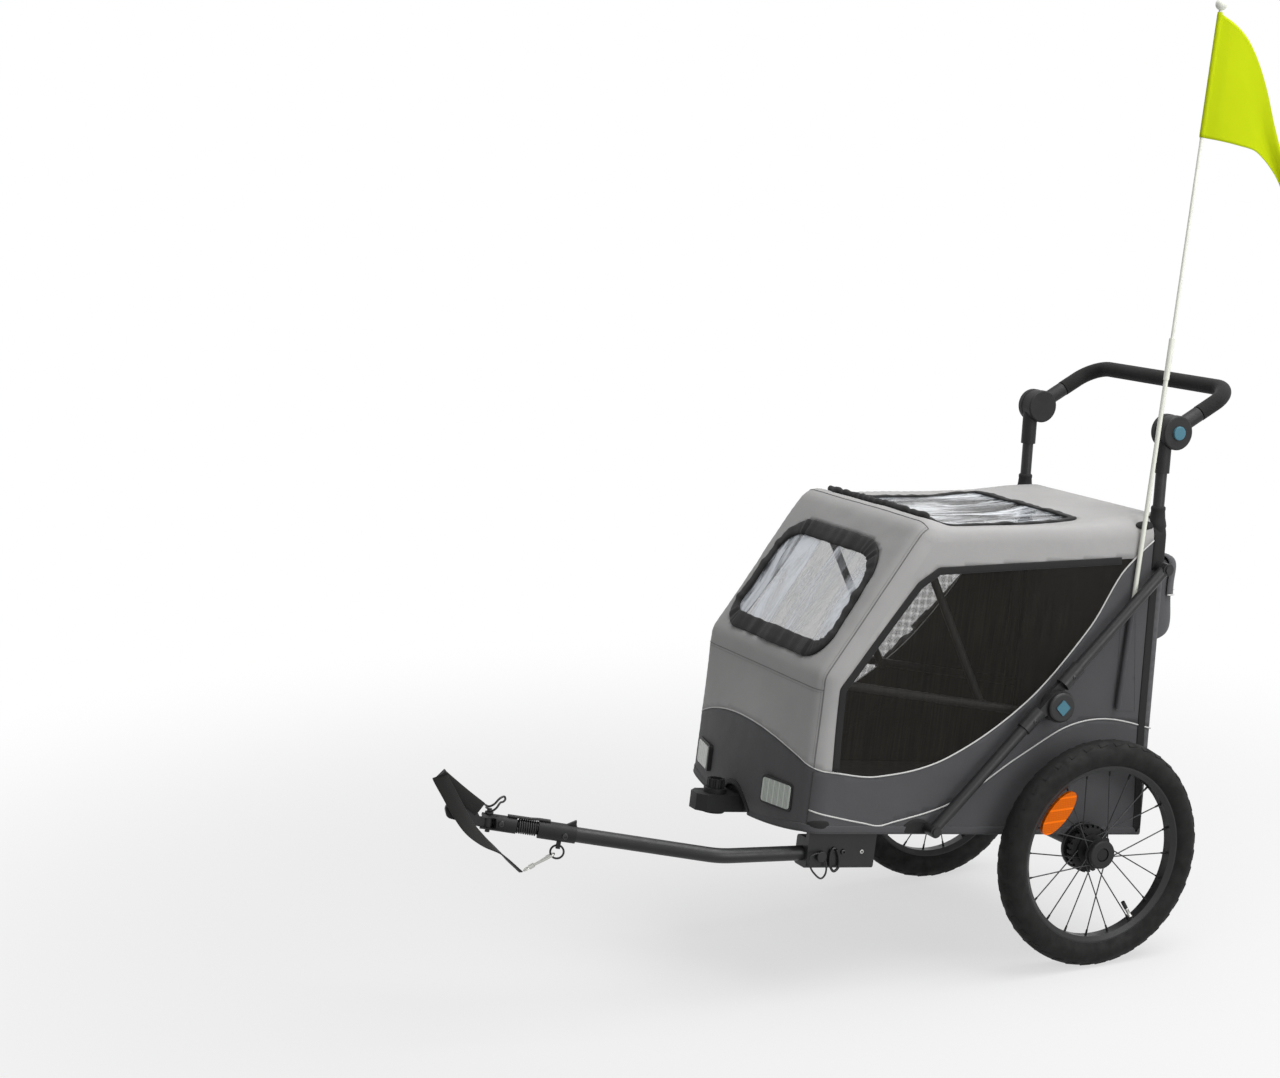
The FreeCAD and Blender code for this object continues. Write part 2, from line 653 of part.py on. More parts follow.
def strut_upper():
    sign = -1
    tube = rod(at(STRUT_TOP, STRUT_X), at(on_strut(sign * KNEE_SLEEVE_START), STRUT_X), STRUT_R)
    eye = pin(STRUT_TOP, STRUT_IN, STRUT_OUT, EYE_R)
    knee = knee_arm(sign, STRUT_IN, KNEE_FACE)
    knee_pin = pin(KNEE, KNEE_FACE, KNEE_FACE + KNEE_DISC_T - 2 * GAP, KNEE_PIN_R)
    bore = pin(STRUT_TOP, STRUT_IN - STRUT_R, STRUT_OUT + STRUT_R, PIN_R + FIT)
    return fused(tube, eye, knee, knee_pin).cut(bore)


def strut_lower():
    sign = 1
    tube = rod(at(STRUT_FOOT, STRUT_X), at(on_strut(sign * KNEE_SLEEVE_START), STRUT_X), STRUT_R)
    eye = pin(STRUT_FOOT, STRUT_IN, STRUT_OUT, EYE_R)
    bolt_shank = pin(STRUT_FOOT, BOSS_OUT + 2 * GAP, STRUT_IN, PIN_R)
    bolt_head = pin(STRUT_FOOT, STRUT_OUT, STRUT_OUT + PIN_HEAD_T, PIN_HEAD_R)
    disc_out = STRUT_X + KNEE_DISC_T
    knee = knee_arm(sign, STRUT_X, disc_out)
    cap = pin(KNEE, disc_out, disc_out + KNEE_CAP_T, KNEE_R - 2)
    rim_edge = [edge for edge in cap.Edges if edge.Closed and edge.BoundBox.XMin > disc_out + 1]
    cap = cap.makeFillet(KNEE_CAP_T / 2, rim_edge)
    solid = fused(tube, eye, bolt_shank, bolt_head, knee, cap)
    solid = solid.cut(pin(KNEE, STRUT_X, KNEE_FACE + KNEE_DISC_T, KNEE_PIN_R + FIT))
    return solid.cut(diamond(FOLD_BUTTON_HALF, disc_out + KNEE_CAP_T - BUTTON_POCKET, disc_out + KNEE_CAP_T))


def diamond(half, x_from, x_to):
    corners = []
    for side, aside in ((half, half), (-half, half), (-half, -half), (half, -half)):
        corners.append(on_strut(side, KNEE_OFFSET + aside))
    return slab(corners, [DIAMOND_ROUND] * 4, x_from, x_to)


def fold_button():
    pocket = STRUT_X + KNEE_DISC_T + KNEE_CAP_T - BUTTON_POCKET
    seat = pocket + BUTTON_TRAVEL + GAP
    return diamond(FOLD_BUTTON_HALF - FIT, seat, seat + FOLD_BUTTON_LENGTH - BUTTON_TRAVEL)


strut_pieces = {"strut_upper": strut_upper(), "strut_lower": strut_lower(), "fold_button": fold_button()}
for part_name, part_shape in strut_pieces.items():
    nodes[part_name + "_left"] = part_shape
    nodes[part_name + "_right"] = mirrored(part_shape)


# Hoops that hold up the cover, nested inside the uprights
def hoop(pivot, top, x, radius, bend):
    points = [at(pivot, x), at(top, x), at(top, -x), at(pivot, -x)]
    eye = pin(pivot, x - radius, x + radius, HOOP_EYE_R)
    bore = pin(pivot, -2 * x, 2 * x, PIN_R + FIT)
    return fused(bent_rod(points, bend, radius), eye, mirrored(eye)).cut(bore)


def waist_hoop():
    ridge_in = RIDGE_X - RIDGE_R - GAP
    ridge_pin = pin(RIDGE_PIVOT, ridge_in - HOOP_HEAD_T, WAIST_X, PIN_R)
    head = pin(RIDGE_PIVOT, ridge_in - HOOP_HEAD_T, ridge_in, HOOP_HEAD_R)
    pins = [ridge_pin, head, mirrored(ridge_pin), mirrored(head)]
    return fused(hoop(WAIST_PIVOT, WAIST_FRONT, WAIST_X, WAIST_R, WAIST_BEND), *pins)


nodes["waist_hoop"] = waist_hoop()
nodes["ridge_hoop"] = hoop(RIDGE_PIVOT, RIDGE_TOP, RIDGE_X, RIDGE_R, RIDGE_BEND)


# Sewn cover: one thin shell, cut along its seams into cloth panels
def unit(start, end):
    length = math.dist(start, end)
    return ((end[0] - start[0]) / length, (end[1] - start[1]) / length)


NOSE_CORNER = (NOSE_Y, NOSE_Z)
WINDSHIELD_WAY = unit(NOSE_CORNER, RIDGE_CORNER)
ROOF_WAY = unit(RIDGE_CORNER, ROOF_REAR)
FRONT_IN = (1.0, 0.0)
WINDSHIELD_IN = (WINDSHIELD_WAY[1], -WINDSHIELD_WAY[0])
ROOF_IN = (ROOF_WAY[1], -ROOF_WAY[0])
FAR = 2000.0


def inset_corner(corner, normal_a, normal_b, inset):
    share = inset / (1 + normal_a[0] * normal_b[0] + normal_a[1] * normal_b[1])
    return tuple(c + share * (a + b) for c, a, b in zip(corner, normal_a, normal_b))


def cover_solid(inset):
    nose = inset_corner(NOSE_CORNER, FRONT_IN, WINDSHIELD_IN, inset)
    ridge = inset_corner(RIDGE_CORNER, WINDSHIELD_IN, ROOF_IN, inset)
    rear_y = RAIL_REAR + COVER_FILLET + inset
    low_z = HEM_Z - COVER_FILLET - inset
    rear_z = ridge[1] + (rear_y - ridge[0]) * ROOF_WAY[1] / ROOF_WAY[0]
    outline = [(nose[0], low_z), nose, ridge, (rear_y, rear_z), (rear_y, low_z)]
    half = CLOTH_OUT - inset
    body = slab(outline, [0, NOSE_ROUND - inset, RIDGE_ROUND - inset, 0, 0], -half, half)
    seams = []
    for edge in body.Edges:
        frame = edge.BoundBox
        on_side = abs(frame.XMax - frame.XMin) < GAP
        if on_side and frame.YMin < rear_y - 1 and frame.ZMax > low_z + 1:
            seams.append(edge)
    return body.makeFillet(COVER_FILLET - inset, seams)


def rear_cut(offset):
    low = (upright_y(-FAR) + offset, -FAR)
    high = (upright_y(FAR) + offset, FAR)
    return slab([low, (FAR, -FAR), (FAR, FAR), high], [0] * 4, -FAR, FAR)


REAR_OFFSET = UPRIGHT_R + CLOTH_GAP
below_hem = box((-FAR, FAR), (-FAR, FAR), (-FAR, HEM_Z))
cover = cover_solid(0).cut(cover_solid(CLOTH)).cut(below_hem).cut(rear_cut(REAR_OFFSET + CLOTH))

ARCH_TOP = 167.0
ARCH_SIDE = 122.0
CORNER_Y = NOSE_Y + COVER_FILLET * 0.85
UPPER_SEAM = [(CORNER_Y, 122.0), (-430, 116), (-300, 150), (-150, 255), (-45, 385), (12, 490), (140, 612)]
LOWER_SEAM = [(PANEL_FRONT, 33.0), (-276, 74), (-150, 157), (-62, 210), (20, 225), (140, 206)]
MESH_CORNERS = [(-514, 60), (-522, 262), (-400, 444), (-366, 470), (36, 510), (60, 300)]
MESH_ROUNDS = [0, 14.0, 14.0, 14.0, 8.0, 0]


def front_arch():
    left = Vector(CLOTH_OUT, -FAR, ARCH_SIDE)
    right = Vector(-CLOTH_OUT, -FAR, ARCH_SIDE)
    low_left = Vector(CLOTH_OUT, -FAR, 0)
    low_right = Vector(-CLOTH_OUT, -FAR, 0)
    edges = [Part.Arc(left, Vector(0, -FAR, ARCH_TOP), right).toShape(), Part.makeLine(right, low_right)]
    edges += [Part.makeLine(low_right, low_left), Part.makeLine(low_left, left)]
    return Part.Face(Part.Wire(edges)).extrude(Vector(0, FAR + CORNER_Y, 0))


def window_prism():
    low = along(at(NOSE_CORNER, 0), at(WINDSHIELD_WAY, 0), WINDOW_LOW)
    high = along(at(NOSE_CORNER, 0), at(WINDSHIELD_WAY, 0), WINDOW_HIGH)
    outward = at(WINDSHIELD_IN, 0).multiply(-CLOTH * 4)
    side = Vector(WINDOW_HALF, 0, 0)
    corners = [low.sub(side), low.add(side), high.add(side), high.sub(side)]
    face = rounded_face([corner.add(outward) for corner in corners], [WINDOW_ROUND] * 4)
    return face.extrude(at(WINDSHIELD_IN, 0).multiply(CLOTH * 8))


def roof_window_prism():
    sides = [-WINDOW_HALF, WINDOW_HALF]
    corners = [Vector(x, ROOF_WINDOW_FRONT, NOSE_Z) for x in sides]
    corners += [Vector(x, ROOF_WINDOW_REAR, NOSE_Z) for x in reversed(sides)]
    return rounded_face(corners, [ROOF_WINDOW_ROUND] * 4).extrude(Vector(0, 0, FAR))


def boss_hole(point):
    return pin(point, -FAR, FAR, BOSS_R + GAP)


upright_hole = rod(at(FOLD_PIVOT, RAIL_X), at(UPRIGHT_TOP, RAIL_X), UPRIGHT_R + CLOTH_GAP)
upright_holes = pair(upright_hole)
below_upper_seam = below_curve(UPPER_SEAM, 0, -FAR, FAR)
below_lower_seam = below_curve(LOWER_SEAM, 0, -FAR, FAR)
dark_area = fused(below_upper_seam, front_arch())
mesh_area = slab(MESH_CORNERS, MESH_ROUNDS, -FAR, FAR).cut(below_upper_seam)

side_panels = cover.common(below_lower_seam).cut(boss_hole(STRUT_FOOT))
for panel in side_panels.Solids:
    nodes["side_panel_left" if panel.CenterOfMass.x > 0 else "side_panel_right"] = panel
nodes["skirt"] = cover.common(dark_area).cut(below_lower_seam).cut(boss_hole(STRUT_TOP)).cut(upright_holes)
nodes["side_mesh"] = cover.common(mesh_area)
nodes["front_window"] = cover.common(window_prism())
nodes["roof_window"] = cover.common(roof_window_prism())
openings = [dark_area, mesh_area, window_prism(), roof_window_prism(), upright_holes, boss_hole(STRUT_TOP)]
nodes["hood"] = cover.cut(openings)


# Rear panel, pocket and lamps, laid on a plane that leans with the uprights
def behind(offset, x, z):
    return Vector(x, upright_y(z) + offset / math.cos(math.radians(LEAN)), z)


REAR_WAY = Vector(0, math.cos(math.radians(LEAN)), math.sin(math.radians(LEAN)))


def leaning_plate(half, low, high, x_mid, offset, thick, rounding):
    corners = [behind(offset, x_mid - half, low), behind(offset, x_mid + half, low)]
    corners += [behind(offset, x_mid + half, high), behind(offset, x_mid - half, high)]
    return rounded_face(corners, [rounding] * 4).extrude(Vector(REAR_WAY).multiply(thick))


REAR_ROUND = 12.0
panel_back = REAR_OFFSET + CLOTH
nodes["rear_panel"] = leaning_plate(
    REAR_PANEL_HALF, REAR_PANEL_LOW, REAR_PANEL_HIGH, 0, REAR_OFFSET, CLOTH, REAR_ROUND)


def rear_pocket():
    bag = leaning_plate(POCKET_HALF, POCKET_LOW, POCKET_HIGH, 0, panel_back, POCKET_DEPTH, POCKET_ROUND)
    back_edges = []
    for edge in bag.Edges:
        if edge.CenterOfMass.y > upright_y(edge.CenterOfMass.z) + panel_back + POCKET_DEPTH * 0.9:
            back_edges.append(edge)
    return bag.makeFillet(POCKET_ROUND * 0.8, back_edges)


nodes["rear_pocket"] = rear_pocket()
lens_high = REAR_LENS_LOW + REAR_LENS[1]
rear_lens = leaning_plate(
    REAR_LENS[0] / 2, REAR_LENS_LOW, lens_high, REAR_LENS_X, panel_back, LENS_T, REAR_LENS[0] / 5)
nodes["rear_reflectors"] = pair(rear_lens)


# Front reflectors: white lenses in dark frames on the nose
def front_plate(size, depth_from, depth_to, rounding):
    x_from = FRONT_REFLECTOR_X - size[0] / 2
    x_to = FRONT_REFLECTOR_X + size[0] / 2
    z_from = FRONT_REFLECTOR_Z - size[1] / 2
    z_to = FRONT_REFLECTOR_Z + size[1] / 2
    y = NOSE_Y - depth_from
    corners = [Vector(x_from, y, z_from), Vector(x_to, y, z_from)]
    corners += [Vector(x_to, y, z_to), Vector(x_from, y, z_to)]
    plate = rounded_face(corners, [rounding] * 4).extrude(Vector(0, depth_from - depth_to, 0))
    outer_edge = Vector(FRONT_REFLECTOR_X + FRONT_FRAME[0] / 2, NOSE_Y, 0)
    plate.rotate(outer_edge, Vector(0, 0, 1), REFLECTOR_TURN)
    return plate


lens = front_plate(FRONT_LENS, FRAME_T + LENS_PROUD - LENS_T, FRAME_T + LENS_PROUD, LENS_ROUND)
frame = front_plate(FRONT_FRAME, -COVER_FILLET, FRAME_T, FRAME_ROUND)
nodes["front_reflectors"] = pair(lens)
nodes["reflector_frames"] = pair(frame.cut(lens).cut(cover_solid(0)))

# Front-wheel socket: a clamp under the front rail with an upright bore ahead of it
SOCKET_AHEAD = 56.0
SOCKET_Y = NOSE_Y - SOCKET_AHEAD
SOCKET_R = 20.0
SOCKET_BORE_R = 11.0
SOCKET_LOW = -2.0
SOCKET_HIGH = 40.0
SOCKET_HALF = 26.0
KNOB_R = 15.0
KNOB_HIGH = 56.0
KNOB_FLUTES = 10
KNOB_FLUTE_R = 2.6
BLOCK_LOW = 3.0
BLOCK_HIGH = 32.0
BLOCK_GAP = 12.0
BLOCK_LENGTH = 84.0
BLOCK_REAR = NOSE_Y - BLOCK_GAP
BLOCK_FRONT = BLOCK_REAR - BLOCK_LENGTH


def nose_wheel_socket():
    rail = rod(Vector(-FAR, RAIL_FRONT, RAIL_Z), Vector(FAR, RAIL_FRONT, RAIL_Z), RAIL_R)
    arm = box((-SOCKET_HALF, SOCKET_HALF), (BLOCK_REAR, RAIL_FRONT + RAIL_R), (BLOCK_LOW, HEM_Z - GAP))
    block = box((-SOCKET_HALF, SOCKET_HALF), (BLOCK_FRONT, BLOCK_REAR), (BLOCK_LOW, BLOCK_HIGH))
    front_edges = []
    for edge in block.Edges:
        if edge.BoundBox.ZLength > 1 and edge.CenterOfMass.y < SOCKET_Y:
            front_edges.append(edge)
    block = block.makeChamfer(SOCKET_HALF * 0.55, front_edges)
    barrel = rod(Vector(0, SOCKET_Y, SOCKET_LOW), Vector(0, SOCKET_Y, SOCKET_HIGH), SOCKET_R)
    knob = rod(Vector(0, SOCKET_Y, SOCKET_HIGH), Vector(0, SOCKET_Y, KNOB_HIGH), KNOB_R)
    flutes = []
    for count in range(KNOB_FLUTES):
        angle = 2 * math.pi * count / KNOB_FLUTES
        spot = Vector(KNOB_R * math.cos(angle), SOCKET_Y + KNOB_R * math.sin(angle), SOCKET_HIGH)
        flutes.append(rod(spot, Vector(spot.x, spot.y, FAR), KNOB_FLUTE_R))
    knob = knob.cut(Part.makeCompound(flutes))
    bore = rod(Vector(0, SOCKET_Y, -FAR), Vector(0, SOCKET_Y, FAR), SOCKET_BORE_R)
    return fused(arm, block, barrel, knob).cut(rail).cut(bore)


nodes["nose_wheel_socket"] = nose_wheel_socket()

# Safety flag: a sleeve on the side, a two-piece pole and a pennant that droops to its tip

def upright_rod(z_from, z_to, radius):
    return rod(Vector(POLE_X, POLE_Y, z_from), Vector(POLE_X, POLE_Y, z_to), radius)


def flag_pole():
    lower = upright_rod(POLE_BOTTOM, FERRULE_LOW, POLE_R)
    ferrule = upright_rod(FERRULE_LOW, FERRULE_HIGH, FERRULE_R)
    upper = upright_rod(FERRULE_HIGH, POLE_TOP, POLE_TIP_R)
    ball = Part.makeSphere(BALL_R, Vector(POLE_X, POLE_Y, POLE_TOP))
    return fused(lower, ferrule, upper, ball)


SLEEVE_FLOOR = POLE_BOTTOM - GAP
nodes["flag_sleeve"] = upright_rod(SLEEVE_LOW, SLEEVE_HIGH, SLEEVE_OUT_R).cut(
    upright_rod(SLEEVE_FLOOR, SLEEVE_HIGH, POLE_R + SLEEVE_FIT))
nodes["flag_pole"] = flag_pole()

HEM_R = POLE_TIP_R + 1.2
FLAG_FOLD = 9.0
FLAG_TIP = (224.0, 1152.0)
FLAG_BOTTOM = [(POLE_Y, FLAG_LOW), (100, 1229), (160, 1222), (200, 1196), FLAG_TIP]
FLAG_EDGE = [(POLE_Y, FLAG_HIGH), (95, 1404), (160, 1325), (203, 1236), (228, 1158)]


def flag():
    sections = []
    for step, (low, high) in enumerate(zip(FLAG_BOTTOM, FLAG_EDGE)):
        sway = FLAG_FOLD * math.sin(step * math.pi * 0.6)
        near = POLE_X + sway - FLAG_T / 2
        far = POLE_X + sway + FLAG_T / 2
        corners = [at(low, near), at(low, far), at(high, far), at(high, near)]
        sections.append(Part.makePolygon(corners + corners[:1]))
    cloth = Part.makeLoft(sections, True, False)
    hem = upright_rod(FLAG_LOW, FLAG_HIGH, HEM_R)
    return fused(cloth, hem).cut(upright_rod(FERRULE_HIGH, POLE_TOP, POLE_TIP_R))


nodes["flag"] = flag()

# Drawbar: a bent tube held in a bracket under the left rail by a lock pin
drawbar_start = Vector(*DRAWBAR_START)
drawbar_knee = Vector(*DRAWBAR_KNEE)
drawbar_end = Vector(*DRAWBAR_END)
DRAWBAR_X = DRAWBAR_START[0]
COLLAR_END_T = 6.0
LOCK_SHARE = (LOCK_PIN_Y - DRAWBAR_START[1]) / (DRAWBAR_KNEE[1] - DRAWBAR_START[1])
LOCK_POINT = (LOCK_PIN_Y, DRAWBAR_START[2] + LOCK_SHARE * (DRAWBAR_KNEE[2] - DRAWBAR_START[2]))
LOCK_HEAD_R = 9.0
LOCK_HEAD_T = 8.0
LOCK_HEAD_ROUND = 1.5
LOCK_TAIL = 5.0
bracket_x = (DRAWBAR_X - BRACKET_HALF, DRAWBAR_X + BRACKET_HALF)
lock_hole = pin(LOCK_POINT, 0, FAR, PIN_R + FIT)


def drawbar_bracket():
    block = box(bracket_x, (BRACKET_FRONT, BRACKET_REAR), (BRACKET_LOW, BRACKET_HIGH))
    block = block.makeFillet(BRACKET_ROUND, [edge for edge in block.Edges if edge.BoundBox.YLength > 1])
    flange_x = (bracket_x[1] - RAIL_R, bracket_x[1])
    flange = box(flange_x, (BRACKET_FRONT, BRACKET_REAR), (BRACKET_LOW / 2, RAIL_Z))
    bore = rod(along(drawbar_start, drawbar_knee.sub(drawbar_start), -1), drawbar_knee, DRAWBAR_R)
    return fused(block, flange).cut(nodes["base_frame"]).cut(bore).cut(lock_hole)


def lock_pin():
    shank = pin(LOCK_POINT, bracket_x[0] - LOCK_TAIL, bracket_x[1] + GAP, PIN_R)
    head = pin(LOCK_POINT, bracket_x[1] + GAP, bracket_x[1] + GAP + LOCK_HEAD_T, LOCK_HEAD_R)
    return fused(shank, head.makeFillet(LOCK_HEAD_ROUND, [edge for edge in head.Edges if edge.Closed]))


nodes["drawbar_bracket"] = drawbar_bracket()
tube_end = along(drawbar_end, HITCH_WAY, -COLLAR_END_T)
drawbar = bent_rod([drawbar_start, drawbar_knee, tube_end], DRAWBAR_BEND, DRAWBAR_R)
nodes["drawbar_tube"] = drawbar.cut(lock_hole)
nodes["lock_pin"] = lock_pin()

# Hitch pieces are drawn with +Y running back along the drawbar from its end, then laid on it
hitch_side = Vector(0, 0, 1).cross(HITCH_WAY).normalize()
hitch_up = hitch_side.cross(Vector(HITCH_WAY).multiply(-1))
hitch_turn = FreeCAD.Rotation(hitch_side, Vector(HITCH_WAY).multiply(-1), hitch_up, "YZX")
hitch_place = FreeCAD.Placement(drawbar_end, hitch_turn)
RING_Y = 37.0
RING_TOP = -(COLLAR_R + LUG_WIDTH)


def on_hitch(shape):
    shape.Placement = hitch_place.multiply(shape.Placement)
    return shape


def drawbar_collar():
    barrel = rod(Vector(0, 0, 0), Vector(0, COLLAR_LENGTH, 0), COLLAR_R)
    lug_low = RING_TOP - RING_WIRE - LUG_WIDTH / 2
    lug = box((-LUG_WIDTH / 2, LUG_WIDTH / 2), (RING_Y - LUG_WIDTH / 2, RING_Y + LUG_WIDTH / 2), (lug_low, 0))
    hole = rod(Vector(0, 0, RING_TOP), Vector(0, COLLAR_LENGTH, RING_TOP), RING_WIRE + 3 * GAP)
    solid = fused(barrel, lug).cut(hole)
    return on_hitch(solid.cut(rod(Vector(0, COLLAR_END_T, 0), Vector(0, COLLAR_LENGTH, 0), DRAWBAR_R)))


nodes["drawbar_collar"] = drawbar_collar()
ring_centre = Vector(0, RING_Y, RING_TOP - RING_R)
nodes["tow_ring"] = on_hitch(Part.makeTorus(RING_R, RING_WIRE, ring_centre, Vector(1, 0, 0)))


# Hitch spring: one wire, wound as a helix of short arcs, with its ends turned square to the faces they meet
def apex_arc(start, crossing, end):
    middle = start.add(end).multiply(0.5)
    inward = middle.sub(crossing)
    reach = crossing.sub(start).Length
    half_turn = math.asin(min(1.0, inward.Length / reach))
    radius = reach / math.tan(half_turn)
    apex = along(crossing, inward.normalize(), radius * (1 / math.cos(half_turn) - 1))
    return Part.Arc(start, apex, end).toShape()


def biarc(start, start_way, end, end_way):
    chord = end.sub(start)
    ways = start_way.add(end_way)
    bend = 2 * (1 - start_way.dot(end_way))
    lean = chord.dot(ways)
    reach = (-lean + math.sqrt(lean * lean + bend * chord.dot(chord))) / bend
    first = along(start, start_way, reach)
    second = along(end, end_way, -reach)
    joint = first.add(second).multiply(0.5)
    return [apex_arc(start, first, joint), apex_arc(joint, second, end)]


SPRING_BEND = 2.4


def spring_path():
    low = SPRING_END + SPRING_BEND
    pitch = (SPRING_LENGTH - 2 * low) / SPRING_TURNS
    quarters = 4 * SPRING_TURNS
    points = []
    ways = []
    for quarter in range(quarters + 1):
        angle = quarter * math.pi / 2
        height = low + pitch * quarter / 4
        points.append(Vector(SPRING_R * math.cos(angle), SPRING_R * math.sin(angle), height))
        way = Vector(-math.sin(angle), math.cos(angle), pitch / (2 * math.pi * SPRING_R))
        ways.append(way.normalize())
    first_corner = along(points[0], ways[0], -SPRING_BEND)
    last_corner = along(points[-1], ways[-1], SPRING_BEND)
    foot = Vector(first_corner.x, first_corner.y, 0)
    head = Vector(last_corner.x, last_corner.y, SPRING_LENGTH)
    foot_turn = along(first_corner, Vector(0, 0, 1), -SPRING_BEND)
    head_turn = along(last_corner, Vector(0, 0, 1), SPRING_BEND)
    edges = [Part.makeLine(foot, foot_turn), apex_arc(foot_turn, first_corner, points[0])]
    for quarter in range(quarters):
        edges += biarc(points[quarter], ways[quarter], points[quarter + 1], ways[quarter + 1])
    edges += [apex_arc(points[-1], last_corner, head_turn), Part.makeLine(head_turn, head)]
    return Part.Wire(edges)


def least_gap(path):
    samples = path.discretize(Number=60 * SPRING_TURNS)
    apart = 60 // 4
    least = FAR
    for i, first in enumerate(samples):
        for second in samples[i + apart:]:
            least = min(least, first.distanceToPoint(second))
    return least - 2 * SPRING_WIRE


def hitch_spring():
    path = spring_path()
    print("least gap between spring turns:", round(least_gap(path), 2))
    start = path.OrderedVertexes[0].Point
    profile = Part.Wire(Part.makeCircle(SPRING_WIRE, start, Vector(0, 0, 1)))
    coil = path.makePipeShell([profile], True, False)
    coil.rotate(Vector(0, 0, 0), Vector(1, 0, 0), 90)
    return on_hitch(coil)


nodes["hitch_spring"] = hitch_spring()


# Coupler, hitch plate and hitch pin
COUPLER_END = SPRING_LENGTH + COUPLER_LENGTH
hitch_point = along(drawbar_end, HITCH_WAY, COUPLER_END - PLATE_PIN_BACK)
HITCH_PIN = (hitch_point.y, hitch_point.z)
PLATE_X = hitch_point.x
PLATE_EYE_R = 7.5
BARREL_HALF = 8.0
PLATE_BORE_OFF = (-56.0, 31.0)
PLATE_BORE = (HITCH_PIN[0] + PLATE_BORE_OFF[0], HITCH_PIN[1] + PLATE_BORE_OFF[1])
PLATE_CORNERS = [(-28.0, 26.0), (-42.0, 52.0), (-62.0, 52.0), (-78.0, 22.0), (-72.0, 6.0)]
PLATE_ROUNDS = [10.0, 10.0, 14.0, 10.0, 8.0]
PLATE_NECK = 16.0
PLATE_NECK_ROUNDS = [6.0, 20.0]
PIN_LOW = -17.0
PIN_HIGH = 22.0


def hitch_rod(z_from, z_to, radius):
    start = Vector(PLATE_X, HITCH_PIN[0], HITCH_PIN[1] + z_from)
    return rod(start, start.add(Vector(0, 0, z_to - z_from)), radius)


def coupler():
    tube = on_hitch(rod(Vector(0, -COUPLER_END, 0), Vector(0, -SPRING_LENGTH, 0), COUPLER_R))
    slot_z = (HITCH_PIN[1] - BARREL_HALF - GAP, HITCH_PIN[1] + BARREL_HALF + GAP)
    slot = box((-FAR, FAR), (-FAR, HITCH_PIN[0] + PLATE_EYE_R + GAP), slot_z)
    return tube.cut(slot).cut(hitch_rod(-COUPLER_END, COUPLER_END, PIN_R + FIT))


def hitch_plate():
    y, z = HITCH_PIN
    outline = [(y, z - BARREL_HALF), (y, z + BARREL_HALF), (y - PLATE_NECK, z + BARREL_HALF)]
    outline += [(y + back, z + rise) for back, rise in PLATE_CORNERS]
    outline.append((y - PLATE_NECK, z - BARREL_HALF))
    rounds = [0, 0, PLATE_NECK_ROUNDS[0]] + PLATE_ROUNDS + [PLATE_NECK_ROUNDS[1]]
    plate = slab(outline, rounds, PLATE_X - PLATE_T / 2, PLATE_X + PLATE_T / 2)
    bore = pin(PLATE_BORE, PLATE_X - PLATE_T, PLATE_X + PLATE_T, HITCH_BORE_R)
    barrel = hitch_rod(-BARREL_HALF, BARREL_HALF, PLATE_EYE_R)
    return fused(plate, barrel).cut(bore).cut(hitch_rod(-COUPLER_END, COUPLER_END, PIN_R + FIT))


def hitch_pin():
    shank = hitch_rod(PIN_LOW, PIN_HIGH, PIN_R)
    head = hitch_rod(COUPLER_R + 2 * GAP, COUPLER_R + 2 * GAP + PIN_HEAD_T, PIN_HEAD_R)
    return fused(shank, head)


nodes["coupler"] = coupler()
nodes["hitch_plate"] = hitch_plate()
nodes["hitch_pin"] = hitch_pin()

# Safety strap: flat webbing from the hitch plate, looped back on itself and led down to the snap hook
# Each station is a place along the strap, with x counted from the plate, and the way its width lies there
STRAP_X = PLATE_X + PLATE_T / 2 + GAP + STRAP_T / 2
STRAP_ROUTE = [
    (0.0, -1070.0, 14.0), (0.0, -1105.0, 38.0), (0.0, -1143.0, 66.0), (3.0, -1147.0, 70.0),
    (7.0, -1147.0, 66.0), (9.0, -1131.0, 42.0), (10.0, -1112.0, 14.0), (11.0, -1090.0, -14.0),
    (12.0, -1064.0, -35.0), (12.0, -1036.0, -52.0), (12.0, -1012.0, -71.0), (13.0, -992.0, -87.0),
]
STRAP_ACROSS = [
    (0, -0.56, -0.83), (0, -0.62, -0.78), (0, -0.69, -0.72), (0, -0.69, -0.72),
    (0, -0.72, -0.69), (0.05, -0.80, -0.60), (0.15, -0.82, -0.55), (0.45, -0.72, -0.53),
    (0.80, -0.40, -0.45), (0.98, -0.05, -0.15), (0.97, 0.10, 0.20), (0.93, 0.20, 0.30),
]
STRAP_STATIONS = []
for (strap_x, strap_y, strap_z), strap_across in zip(STRAP_ROUTE, STRAP_ACROSS):
    STRAP_STATIONS.append((Vector(STRAP_X + strap_x, strap_y, strap_z), Vector(*strap_across)))


def facet(*corners):
    return Part.Face(Part.makePolygon(list(corners) + [corners[0]]))


def safety_strap():
    sections = []
    count = len(STRAP_STATIONS)
    for i, (centre, across) in enumerate(STRAP_STATIONS):
        before = STRAP_STATIONS[max(i - 1, 0)][0]
        after = STRAP_STATIONS[min(i + 1, count - 1)][0]
        way = after.sub(before).normalize()
        face = way.cross(across).normalize().multiply(STRAP_T / 2)
        edge = face.cross(way).normalize().multiply(STRAP_WIDTH / 2)
        corners = [centre.add(edge).add(face), centre.add(edge).sub(face)]
        corners += [centre.sub(edge).sub(face), centre.sub(edge).add(face)]
        sections.append(corners)
    faces = [facet(*sections[0]), facet(*sections[-1])]
    for start, end in zip(sections, sections[1:]):
        for k, corner in enumerate(start):
            beside = (k + 1) % len(start)
            faces.append(facet(corner, start[beside], end[beside]))
            faces.append(facet(corner, end[beside], end[k]))
    strap = Part.makeSolid(Part.makeShell(faces))
    if strap.Volume < 0:
        strap.reverse()
    return strap


nodes["safety_strap"] = safety_strap()

